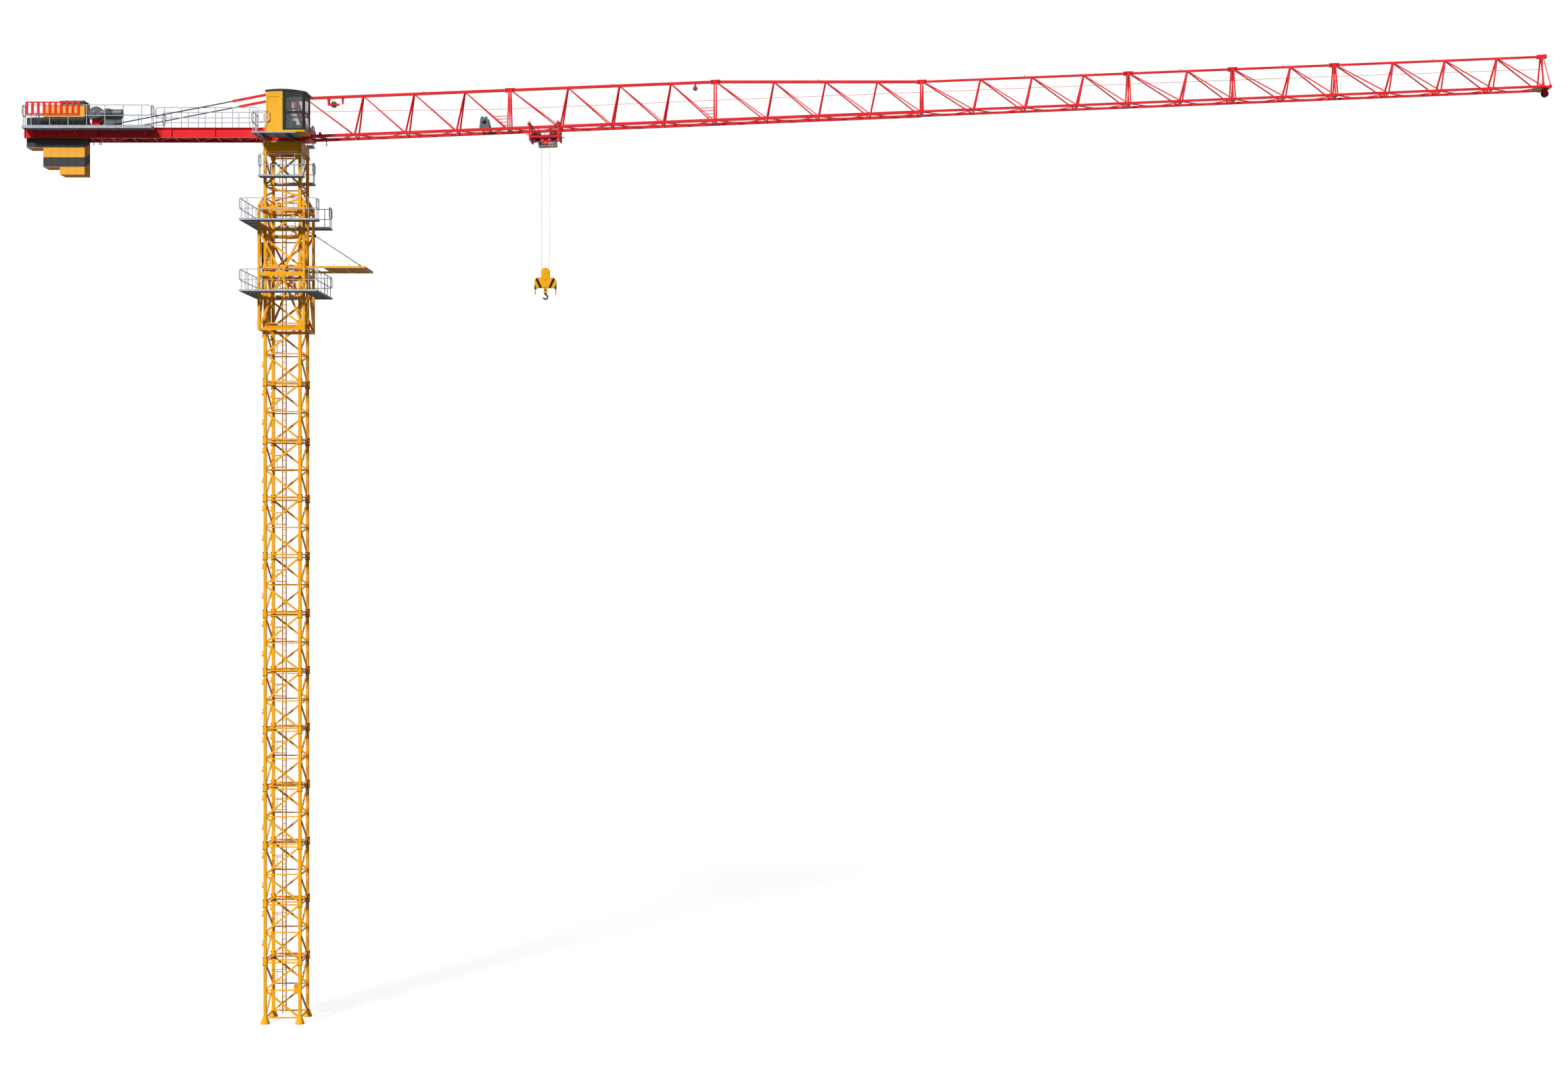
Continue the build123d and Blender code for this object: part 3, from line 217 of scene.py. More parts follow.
CAB_LOW = np.array([-0.2155, -1.225, 21.282])
CAB_HIGH = np.array([0.7045, -0.575, 22.30])
CAB_SKIN = 0.018
HOOK_X = 6.2722
BLOCK_TOP = 18.2033
BLOCK_FOOT = BLOCK_TOP - 0.480
BAR_LEAN = 0.475
BAR_EDGES = (0.076, 0.140, 0.219)
BAR_FOOT = -0.04
BAR_BLACK = (0.006, 0.007, 0.009)
LINING_GREY = (0.15, 0.165, 0.18)
YELLOW = (0.98, 0.445, 0.004)
CAB_YELLOW = (0.98, 0.50, 0.022)
YELLOW_WORN = (0.30, 0.17, 0.05)
YELLOW_DUST = (0.85, 0.52, 0.14)
BLACK = (0.019, 0.021, 0.024)
BLACK_WORN = (0.10, 0.10, 0.10)
BLACK_DUST = (0.09, 0.09, 0.085)
RED = (0.86, 0.018, 0.026)
RED_WORN = (0.20, 0.05, 0.04)
RED_DUST = (0.70, 0.12, 0.10)
GREY = (0.135, 0.155, 0.175)
GREY_WORN = (0.06, 0.06, 0.06)
GREY_DUST = (0.26, 0.27, 0.27)
crane_yellow = paint("crane_yellow_paint", YELLOW, YELLOW_WORN, YELLOW_DUST)
cab_yellow = paint("cab_yellow_paint", CAB_YELLOW, YELLOW_WORN, YELLOW_DUST, coat=0.2, pattern=cab_lining)
block_yellow = paint("hook_block_paint", YELLOW, YELLOW_WORN, YELLOW_DUST, pattern=block_bars)
crane_red = paint("crane_red_paint", RED, RED_WORN, RED_DUST)
machine_grey = paint("winch_grey_paint", GREY, GREY_WORN, GREY_DUST)
cab_dark = paint("cab_black_paint", BLACK, BLACK_WORN, BLACK_DUST, coat=0.4, pattern=cab_lining)


def zinc():
    """Hot-dip zinc: crystals of slightly different grey, a faint dull bloom and a fine crystal relief."""
    made, places, feed = finish("galvanised_zinc", metallic=0.15)
    crystal = places.out("ShaderNodeTexVoronoi", output=1, Vector=places, Scale=26.0)
    grey = places.out("ShaderNodeRGBToBW", Color=crystal)
    bloom = places.noise(3.0, 5.0).step(0.45, 0.7)
    base = grey.mix((0.29, 0.33, 0.38, 1), (0.42, 0.47, 0.53, 1))
    base = (bloom * 0.4).mix(base, (0.48, 0.51, 0.54, 1))
    feed(Base_Color=base, Roughness=0.40 + grey * 0.14 + bloom * 0.18,
         Normal=bumped(places, grey, 0.05, 0.002))
    return made


def slab_concrete():
    """Cast concrete slabs, painted in bands of black and yellow that lie level on the long sides and
    climb from front to back on the end faces; pores and chipped paint show the grey beneath."""
    made, places, feed = finish("counterweight_concrete")
    _, y, z = places.parts()
    normal = places.out("ShaderNodeTexCoord", output=1)
    turned = places.out("ShaderNodeVectorMath", {"operation": "ABSOLUTE"}, Vector=normal)
    facing = turned.parts()[0].step(0.6, 0.8)
    climb = facing * ((y - (MAST_AXIS[1] - SLAB_FRONT)) * BAND_CLIMB)
    level = z - climb + places.noise(5.0, 2.0) * 0.006
    yellow = ((level > BAND_LEVELS[1]) * (level < BAND_LEVELS[0])
              + (level > BAND_LEVELS[3]) * (level < BAND_LEVELS[2])
              + (level < BAND_LEVELS[4]))
    grain = places.noise(30.0, 8.0, 0.65)
    chips = (places.noise(7.0, 7.0, 0.7) * 0.6 + grain * 0.4).step(0.64, 0.67)
    painted = yellow.mix(SLAB_BLACK, SLAB_YELLOW)
    painted = (grain.step(0.35, 0.75) * 0.06).mix(painted, SLAB_STAIN)
    base = (chips * 0.4).mix(painted, BARE_CONCRETE)
    feed(Base_Color=base, Roughness=0.62 + chips * 0.2,
         Normal=bumped(places, grain - chips * 0.5, 0.25, 0.004))
    return made


BAND_LEVELS = (22.09, 21.83, 21.09, 20.855, 20.623)
BAND_CLIMB = 0.36
SLAB_FRONT = 0.211
SLAB_BLACK = (0.012, 0.015, 0.018, 1)
SLAB_YELLOW = (0.94, 0.42, 0.012, 1)
SLAB_STAIN = (0.25, 0.18, 0.10, 1)
BARE_CONCRETE = (0.33, 0.31, 0.28, 1)


def cab_pane():
    """Pale safety glass with a faint film of dust."""
    made, places, feed = finish("cab_glass_pane", coat=0.6, alpha=0.22)
    film = places.noise(2.2, 4.0).step(0.4, 0.8)
    feed(Base_Color=film.mix((0.22, 0.27, 0.29, 1), (0.30, 0.34, 0.35, 1)), Roughness=0.03 + film * 0.05)
    return made


def bare_metal(name, colour, roughness, metallic, relief=1.0):
    """Greased or forged steel: mottled colour, rubbed patches and a relief of the same mottling."""
    made, places, feed = finish(name, metallic=metallic)
    mottle = places.noise(22.0, 6.0, 0.65)
    dull, bright = [(*[c * share for c in colour], 1) for share in (0.7, 1.25)]
    feed(Base_Color=mottle.step(0.35, 0.7).mix(dull, bright), Roughness=roughness + mottle * 0.2,
         Normal=bumped(places, mottle * relief, 0.25, 0.002))
    return made


def seat_cloth():
    """Dark seat cloth that wears towards paler patches."""
    made, places, feed = finish("seat_woven_cloth", roughness=0.8615)
    wear = places.noise(6.0, 3.0).step(0.45, 0.75)
    feed(Base_Color=wear.mix((0.05, 0.05, 0.055, 1), (0.10, 0.10, 0.105, 1)))
    return made


galvanised = zinc()
concrete = slab_concrete()
cab_glass = cab_pane()
rope_steel = bare_metal("galvanised_rope", (0.42, 0.43, 0.45), 0.42, 0.3, relief=0.4)
sheave_black = bare_metal("moulded_sheave", (0.020, 0.024, 0.026), 0.44, 0.0)
hook_black = bare_metal("forged_hook", (0.012, 0.013, 0.015), 0.42, 0.0)
stay_steel = bare_metal("stay_rod_steel", (0.13, 0.13, 0.13), 0.45, 0.2)
pin_brass = bare_metal("passivated_pin", (0.62, 0.44, 0.14), 0.34, 0.5)
seat_fabric = seat_cloth()
FINISHES = {
    "crane_yellow": crane_yellow, "crane_red": crane_red, "machine_grey": machine_grey, "cab_dark": cab_dark,
    "galvanised": galvanised, "concrete": concrete, "cab_glass": cab_glass, "rope_steel": rope_steel,
    "sheave_black": sheave_black, "hook_black": hook_black, "seat_fabric": seat_fabric,
}
OWN_FINISHES = {
    "hook_block": block_yellow, "cab_rear_panels": cab_yellow, "mast_ladder_stiles": crane_yellow,
    "mast_rest_platforms": crane_yellow, "cab_floor": cab_yellow,
    "counter_jib_tie_rods": sheave_black, "introduction_platform_stays": stay_steel,
}

for name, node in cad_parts.items():
    for place in node.material_slots:
        place.material = OWN_FINISHES.get(name, FINISHES[place.material.name.split(".")[0]])


LEG = 0.4175
LEG_FACE = 0.4515
FIRST_JOINT = 0.11
SECTION = 1.39
SECTIONS = 15
SLEEVE_HALF = 0.079
JIB_ROOT = np.array([0.6453, 0.0, 21.3425])
JIB_SLOPE = 0.040363
JIB_JOINTS = np.array([5.4103, 10.3853, 15.3853, 20.3853, 22.9103, 25.3753])
JIB_END = 30.40
ROOT_DEPTH = 0.975
TIP_DEPTH = 0.775
RAIL_SIDE = 0.262
RAIL_HALF = 0.0325
WEB_LEAN = 0.248
TRAY_X = 30.25


def ring(radius, sides=8):
    """A round profile: cosine and sine of equal steps round a circle."""
    turn = 2.0 * np.pi * np.arange(sides) / sides
    return radius * np.stack([np.cos(turn), np.sin(turn)], -1)


def block(wide, tall, chamfer=0.15):
    """A rectangular profile whose four corners are cut by a share of the shorter side."""
    cut = chamfer * min(wide, tall)
    x, y = wide / 2, tall / 2
    return np.array([(x, cut - y), (x, y - cut), (x - cut, y), (cut - x, y),
                     (-x, y - cut), (-x, cut - y), (cut - x, -y), (x - cut, -y)])


def rows(*sides):
    """Every combination of the given coordinates, as points in rows."""
    return np.stack(np.meshgrid(*sides, indexing="ij"), -1).reshape(-1, 3)


def rounded(corners, radius, steps=6):
    """A path through corners, each replaced by a quadratic curve: the corner plus back times (1 - t) squared
    plus ahead times t squared, where back and ahead lie at radius along its two runs."""
    corners = np.asarray(corners, float)
    back = corners[:-2] - corners[1:-1]
    ahead = corners[2:] - corners[1:-1]
    back *= radius / np.linalg.norm(back, axis=1, keepdims=True)
    ahead *= radius / np.linalg.norm(ahead, axis=1, keepdims=True)
    share = np.linspace(0.0, 1.0, steps)[None, :, None]
    bends = corners[1:-1, None] + back[:, None] * (1 - share) ** 2 + ahead[:, None] * share ** 2
    return np.concatenate([corners[:1], bends.reshape(-1, 3), corners[-1:]])


def rail_height(x):
    """Height of the running rails: the root's height plus the slope times the way out from the root."""
    return JIB_ROOT[2] + (np.asarray(x) - JIB_ROOT[0]) * JIB_SLOPE


def jib_depth(x):
    """Depth of the jib: the root's up to the second joint, then a straight taper to the tip's at the
    third."""
    share = np.clip((np.asarray(x) - JIB_JOINTS[1]) / (JIB_JOINTS[2] - JIB_JOINTS[1]), 0.0, 1.0)
    return ROOT_DEPTH + (TIP_DEPTH - ROOT_DEPTH) * share


class Stock:
    """Points and faces of one piece, gathered from carried profiles and turned outlines."""

    def __init__(self):
        self.points = []
        self.faces = []
        self.used = 0

    def add(self, points, *face_sets):
        """Takes a grid of points, and faces whose numbers count from the grid's first point."""
        for faces in face_sets:
            self.faces += [tuple(face) for face in (faces + self.used).tolist()]
        self.points.append(points.reshape(-1, 3))
        self.used += len(self.points[-1])

    def carry(self, profile, paths, up=(0.0, 0.0, 1.0), closed=False):
        """A profile carried along paths: a point is path + across * u + rise * v, where across is square to
        the path and to up, and rise is square to both. Ends are capped, or joined where the path closes."""
        paths = np.asarray(paths, float)
        paths = paths[None] if paths.ndim == 2 else paths
        if closed:
            tangent = np.roll(paths, -1, 1) - np.roll(paths, 1, 1)
        else:
            tangent = np.gradient(paths, axis=1)
        tangent /= np.linalg.norm(tangent, axis=2, keepdims=True)
        up = np.broadcast_to(np.asarray(up, float), tangent.shape)
        steep = np.abs((tangent * up).sum(2, keepdims=True)) > 0.98
        up = np.where(steep, [0.0, 1.0, 0.0], up)
        across = np.cross(tangent, up)
        across /= np.linalg.norm(across, axis=2, keepdims=True)
        rise = np.cross(across, tangent)
        points = paths[:, :, None] + across[:, :, None] * profile[:, :1] + rise[:, :, None] * profile[:, 1:]
        index = np.arange(points.size // 3).reshape(points.shape[:3])
        beside = np.roll(index, -1, 2)
        if closed:
            quads = np.stack([index, beside, np.roll(beside, -1, 1), np.roll(index, -1, 1)], -1)
            self.add(points, quads.reshape(-1, 4))
        else:
            quads = np.stack([index[:, :-1], beside[:, :-1], beside[:, 1:], index[:, 1:]], -1)
            self.add(points, quads.reshape(-1, 4), index[:, 0, ::-1], index[:, -1])
        return self

    def rods(self, starts, ends, profile, up=(0.0, 0.0, 1.0)):
        """A profile carried straight from each start to its end."""
        starts, ends = np.broadcast_arrays(np.atleast_2d(starts), np.atleast_2d(ends))
        return self.carry(profile, np.stack([starts, ends], 1), up)

    def turn(self, outline, centres, axis, sides=12, closed=False, flute=0.0):
        """Turned shapes: outline points (radius, height) swung round an axis through each centre. Flutes
        make the radius swell and sink by a share of itself, as a cosine that repeats every six steps."""
        outline = np.asarray(outline, float)
        centres = np.atleast_2d(centres)
        axis = np.asarray(axis, float) / np.linalg.norm(axis)
        side = np.cross(axis, (0.0, 0.0, 1.0) if abs(axis[2]) < 0.9 else (1.0, 0.0, 0.0))
        side /= np.linalg.norm(side)
        swing = ring(1.0, sides) * (1.0 + flute * np.cos(np.pi / 3.0 * np.arange(sides)))[:, None]
        spokes = swing[:, :1] * side + swing[:, 1:] * np.cross(axis, side)
        points = (centres[:, None, None] + spokes[:, None] * outline[:, :1] + axis * outline[:, 1:])
        index = np.arange(points.size // 3).reshape(points.shape[:3])
        beside = np.roll(index, -1, 1)
        ahead, beside_ahead = np.roll(index, -1, 2), np.roll(beside, -1, 2)
        last = slice(None) if closed else slice(None, -1)
        quads = np.stack([index, beside, beside_ahead, ahead], -1)[:, :, last]
        self.add(points, quads.reshape(-1, 4))
        return self

    def plates(self, outline, centres, thickness, axis=(0.0, 1.0, 0.0)):
        """Flat plates: an outline carried a short way along an axis, half to each side of its centres."""
        half = np.asarray(axis, float) * thickness / 2
        centres = np.atleast_2d(np.asarray(centres, float))
        return self.carry(np.asarray(outline, float), np.stack([centres - half, centres + half], 1))

    def tilted(self, place, slope):
        """Turns what is gathered so far up by a slope about the Y axis, then moves it to its place."""
        angle = math.atan(slope)
        turn = np.array([[math.cos(angle), 0.0, -math.sin(angle)], [0.0, 1.0, 0.0],
                         [math.sin(angle), 0.0, math.cos(angle)]])
        self.points = [points @ turn.T + place for points in self.points]
        return self

    def put(self, name, body, slot, finish=None, soft_edge=40.0):
        """Makes the piece: its points moved to the mast axis, doubles merged, faces turned outwards."""
        mesh = bpy.data.meshes.new(name)
        mesh.from_pydata((np.concatenate(self.points) + MAST_AXIS).tolist(), [], self.faces)
        work = bmesh.new()
        work.from_mesh(mesh)
        bmesh.ops.remove_doubles(work, verts=work.verts, dist=1e-6)
        bmesh.ops.recalc_face_normals(work, faces=work.faces)
        work.to_mesh(mesh)
        work.free()
        mesh.shade_smooth()
        mesh.set_sharp_from_angle(angle=math.radians(soft_edge))
        mesh.materials.append(finish or FINISHES[slot])
        piece = bpy.data.objects.new(name, mesh)
        scene.collection.objects.link(piece)
        if body:
            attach(piece, body)
        return piece


BOLT = np.array([(0.0, 0.020), (0.010, 0.020), (0.0125, 0.017), (0.0125, 0.005), (0.017, 0.005), (0.017, 0.0),
                 (0.0, 0.0)])
PIN = np.array([(0.0, 0.016), (0.015, 0.016), (0.018, 0.012), (0.018, 0.0), (0.0, 0.0)])
UP = np.array([0.0, 0.0, 1.0])
FRAME_FOOT = 16.65
FEED_RAIL = 0.513
SLEEVE_BOLT = 0.0405
LUG_DROPS = np.array([0.247, 0.954])
joint_levels = FIRST_JOINT + SECTION * np.arange(SECTIONS + 1)
legs = np.array([-LEG, LEG])


def mast_fittings():
    """Bolts through the joint sleeves, hooked climbing lugs on the left legs, fluted foot bells, and a
    switch box."""
    corners = np.concatenate([legs - SLEEVE_BOLT, legs + SLEEVE_BOLT])
    bolts = Stock()
    bolts.turn(BOLT, rows(corners, corners, joint_levels[1:-1] + SLEEVE_HALF), (0, 0, 1), 6)
    bolts.turn(BOLT, rows(corners, corners, joint_levels[1:-1] - SLEEVE_HALF), (0, 0, -1), 6)
    bolts.put("mast_joint_bolts", "mast", "hook_black")

    lugs = Stock()
    hook = [(0.0, -0.067), (0.030, -0.069), (0.048, -0.050), (0.050, -0.020), (0.040, -0.006),
            (0.026, -0.012), (0.018, 0.004), (0.020, 0.026), (0.034, 0.036), (0.034, 0.060),
            (0.022, 0.069), (0.0, 0.069)]
    hook = np.array(hook) * [-1, 1]
    levels = (joint_levels[1:, None] - LUG_DROPS).ravel()
    levels = levels[(levels > joint_levels[1]) & (levels < FRAME_FOOT)]
    lugs.plates(hook[::-1], rows([-LEG_FACE], legs, levels), 0.026)
    lugs.put("mast_climbing_lugs", "mast", "crane_yellow")

    bells = Stock()
    bell = [(0.0, 0.176), (0.050, 0.172), (0.056, 0.160), (0.062, 0.142), (0.076, 0.108), (0.098, 0.046),
            (0.108, 0.022), (0.109, 0.012), (0.0, 0.012)]
    bells.turn(bell, rows(legs, legs, [0.0]), (0, 0, 1), 48, flute=0.045)
    bells.put("base_foot_bells", "mast", "crane_yellow")

    box = Stock()
    box.rods([0.11, 0.358, 0.675], [0.25, 0.358, 0.675], block(0.086, 0.22, 0.08))
    box.rods([0.12, 0.312, 0.675], [0.24, 0.312, 0.675], block(0.008, 0.20, 0.3))
    box.turn(BOLT * 0.5, rows([0.128], [0.308], [0.63, 0.72]), (0, -1, 0), 8)
    box.put("mast_switch_box", "mast", "crane_yellow")


def ladder_fittings():
    """Rungs between the ladder's stiles, and in every section a pair of hoops joined by three straps."""
    stand = np.array([-0.090, 0.165, 0.0])
    away = np.array([0.9744, -0.2250, 0.0])
    beside = np.array([0.2250, 0.9744, 0.0])
    ladder = Stock()
    steps = np.arange(0.25, 20.85, 0.14)[:, None] * UP
    ladder.rods(stand - beside * 0.0955 + steps, stand + beside * 0.0955 + steps, ring(0.0065, 6))
    turn = np.radians(np.linspace(-128.0, 128.0, 17))[:, None]
    high = joint_levels[1:-1] - 0.34
    low = joint_levels[1:-1] - 0.62
    for side, chosen in ((-1.0, high < 16.79), (1.0, high > 16.79)):
        arc = stand + away * side * (0.117 + 0.190 * np.cos(turn)) + beside * 0.145 * np.sin(turn)
        levels = np.concatenate([low[chosen], high[chosen]])
        ladder.carry(block(0.004, 0.014), arc + levels[:, None, None] * UP)
        straps = arc[[5, 8, 11]]
        feet = straps + (low[chosen] - 0.011)[:, None, None] * UP
        heads = straps + (high[chosen] + 0.011)[:, None, None] * UP
        ladder.rods(feet.reshape(-1, 3), heads.reshape(-1, 3), block(0.018, 0.003))
    ladder.put("mast_ladder_rungs", "mast", "crane_yellow")


RING_EDGE = 0.9248
RING_INNER = 0.5678
UPPER_DECK = 19.280
LOWER_DECK = 17.582
SERVICE_DECK = 20.3484
CAB_DECK = 21.2815
GIRDER_TOP = 21.5475
TREAD_STEP = 0.045
TREAD_INSET = 0.012
TREAD_RISE = 0.002


def deck_fittings():
    """Tread bars in even steps across every deck."""
    ring_strips = [(-RING_EDGE, RING_EDGE, -RING_EDGE, -RING_INNER),
                   (-RING_EDGE, RING_EDGE, RING_INNER, RING_EDGE),
                   (-RING_EDGE, -RING_INNER, -RING_INNER, RING_INNER),
                   (RING_INNER, RING_EDGE, -RING_INNER, RING_INNER)]
    mast_decks = [(*strip, UPPER_DECK) for strip in ring_strips[:3]]
    mast_decks += [(*strip, LOWER_DECK) for strip in ring_strips]
    mast_decks += [(-0.5155, 0.5455, -0.7498, -0.4518, SERVICE_DECK),
                   (-0.5155, 0.5455, 0.4518, 0.7498, SERVICE_DECK)]
    upper_decks = [(-0.5505, -0.225, -1.245, -0.575, CAB_DECK), (-0.5505, 0.4997, 0.575, 0.885, CAB_DECK)]
    upper_decks += [(-6.20, -3.095, -0.6253, -0.3253, GIRDER_TOP),
                    (-6.20, -3.095, 0.3253, 0.6253, GIRDER_TOP)]
    upper_decks += [(-3.845, -0.62, -0.277, 0.277, GIRDER_TOP - 0.020)]
    for body, decks in (("mast", mast_decks), ("upper", upper_decks)):
        treads = Stock()
        for x0, x1, y0, y1, top in decks:
            level = [top + TREAD_RISE]
            if x1 - x0 > y1 - y0:
                along = np.arange(x0 + 0.03, x1 - 0.01, TREAD_STEP)
                starts = rows(along, [y0 + TREAD_INSET], level)
                ends = rows(along, [y1 - TREAD_INSET], level)
            else:
                along = np.arange(y0 + 0.03, y1 - 0.01, TREAD_STEP)
                starts = rows([x0 + TREAD_INSET], along, level)
                ends = rows([x1 - TREAD_INSET], along, level)
            treads.rods(starts, ends, block(0.012, 0.004, 0.3))
        treads.put(f"{body}_deck_treads", body, "galvanised")


def climbing_fittings():
    """Pins through the frame's ears, the climbing cylinder, the stays' turnbuckles, and the introduction
    platform's loops and slats."""
    pins = Stock()
    for side in (-1, 1):
        ends = rows([-0.545, 0.545], legs + side * 0.015, [19.632])
        pins.turn(PIN * 1.1, ends, (0, side, 0), 12)
        pins.turn(PIN * 0.9, rows([-0.462, 0.462], legs + side * 0.015, [19.80]), (0, side, 0), 12)
    pins.put("climbing_frame_pins", "mast", "hook_black")

    cylinder = Stock()
    barrel = [(0.0, 17.62), (0.034, 17.62), (0.034, 17.68), (0.028, 17.69), (0.028, 18.30), (0.033, 18.31),
              (0.033, 18.36), (0.018, 18.37), (0.018, 18.72), (0.026, 18.73), (0.026, 18.77), (0.0, 18.77)]
    cylinder.turn(barrel, [-0.4795, -0.40, 0.0], (0, 0, 1), 20)
    cylinder.rods([-0.445, -0.385, 17.70], [-0.445, -0.385, 18.28], ring(0.006, 8))
    cylinder.put("climbing_cylinder", "mast", "hook_black")

    sleeves = Stock()
    low, high = np.array([1.8748, 0.0, 18.205]), np.array([0.5898, 0.0, 19.055])
    shares = np.array([0.03, 0.25, 0.41, 0.57, 0.80])[:, None]
    for side in (-1, 1):
        beside = np.array([0.0, side * FEED_RAIL, 0.0])
        starts = low + (high - low) * (shares - 0.013) + beside
        ends = low + (high - low) * (shares + 0.013) + beside
        sleeves.rods(starts, ends, ring(0.014, 10))
    sleeves.put("stay_turnbuckles", "mast", "galvanised", pin_brass)

    loops = Stock()
    turn = np.linspace(0.0, np.pi, 9)
    arch = np.stack([0.022 * np.cos(turn), 0.0 * turn, 0.032 * np.sin(turn)], -1)
    feet = rows([1.264, 1.633], [-FEED_RAIL, FEED_RAIL], [18.185])[:, None]
    loops.carry(ring(0.005, 6), feet + arch, up=(0.0, 1.0, 0.0))
    across = np.linspace(-0.44, 0.44, 12)
    loops.rods(rows([0.972], across, [18.159]), rows([1.996], across, [18.159]), block(0.030, 0.008))
    loops.put("introduction_platform_slats", "mast", "crane_yellow")


def slewing_fittings():
    """Gear teeth round the slewing ring, ring bolts beside the turntable and bolts on the slewing support."""
    turn = 2.0 * np.pi * np.arange(104) / 104
    out = np.stack([np.cos(turn), np.sin(turn), 0.0 * turn], -1)
    teeth = Stock()
    tooth = np.array([(-0.009, 0.0), (0.009, 0.0), (0.005, 0.012), (-0.005, 0.012)])
    teeth.carry(tooth, np.stack([out * 0.4203 + UP * 21.203, out * 0.4203 + UP * 21.233], 1), up=out[:, None])
    teeth.put("slewing_ring_teeth", "mast", "machine_grey")
    bolts = Stock()
    beside = out[::2][np.abs(out[::2, 1]) * 0.378 > 0.348]
    bolts.turn(BOLT * 0.9, beside * 0.378 + UP * 21.2725, (0, 0, 1), 6)
    bolts.put("turntable_ring_bolts", "upper", "hook_black")
    bolts = Stock()
    levels = [21.00, 21.08, 21.16]
    for side in (-1, 1):
        bolts.turn(BOLT * 0.8, rows([-0.42, 0.42], [side * LEG_FACE], levels), (0, side, 0), 6)
        bolts.turn(BOLT * 0.8, rows([side * LEG_FACE], [-0.42, 0.42], levels), (side, 0, 0), 6)
    bolts.put("slewing_support_bolts", "mast", "hook_black")


def loop_path(wide, tall, bend):
    """A closed rectangle with rounded corners: each corner's centre plus bend times the cosine and sine of
    its quarter turn."""
    quarter = np.linspace(0.0, np.pi / 2, 7)
    turn = (np.arange(4)[:, None] * np.pi / 2 + quarter).ravel()
    corners = np.array([(1, 1), (-1, 1), (-1, -1), (1, -1)]) * [wide / 2 - bend, tall / 2 - bend]
    centre = np.repeat(corners, 7, 0)
    return centre + bend * np.stack([np.cos(turn), np.sin(turn)], -1)


PANE_BANDS = ((21.357, 21.7316), (21.7653, 22.128))


def cab_fittings():
    """Rubber gaskets round the panes, the wiper, the roof knobs and the two control levers."""
    rubber = Stock()
    for low, high in PANE_BANDS:
        middle = (low + high) / 2
        side = loop_path(0.4018, high - low, 0.04)
        for y in (-1.226, -0.574):
            path = np.stack([side[:, 0] + 0.4556, 0.0 * side[:, 0] + y, side[:, 1] + middle], -1)
            rubber.carry(ring(0.005, 8), path, up=(0.0, 1.0, 0.0), closed=True)
        nose = loop_path(0.554, high - low, 0.04)
        path = np.stack([0.0 * nose[:, 0] + 0.7055, nose[:, 0] - 0.90, nose[:, 1] + middle], -1)
        rubber.carry(ring(0.005, 8), path, up=(1.0, 0.0, 0.0), closed=True)
    rubber.put("cab_window_gaskets", "upper", "cab_dark", sheave_black)

    handles = Stock()
    wiper = [(0.712, -0.90, 21.745), (0.722, -0.90, 21.76), (0.722, -0.80, 22.02)]
    handles.carry(ring(0.006, 6), rounded(wiper, 0.012), up=(1.0, 0.0, 0.0))
    handles.rods([0.722, -0.835, 21.82], [0.722, -0.765, 22.11], block(0.012, 0.008), up=(1.0, 0.0, 0.0))
    for y in (-1.08, -0.72):
        lever = [(0.335, y, 21.62), (0.335, y, 21.66), (0.350, y, 21.70)]
        handles.carry(ring(0.007, 8), rounded(lever, 0.015))
        grip = [(0.0, 0.0), (0.014, 0.004), (0.019, 0.03), (0.014, 0.055), (0.0, 0.06)]
        handles.turn(grip, [0.350, y, 21.69], (0.2, 0.0, 1.0), 12)
    knob = [(0.0, 0.022), (0.012, 0.020), (0.016, 0.008), (0.022, 0.004), (0.022, 0.0), (0.0, 0.0)]
    handles.turn(knob, rows([-0.13, 0.42], [-1.10, -0.70], [22.262]), (0, 0, 1), 12)
    handles.put("cab_handles", "upper", "cab_dark")


HEAD_LEG_HOOK = (0.318, -0.268, 21.93)


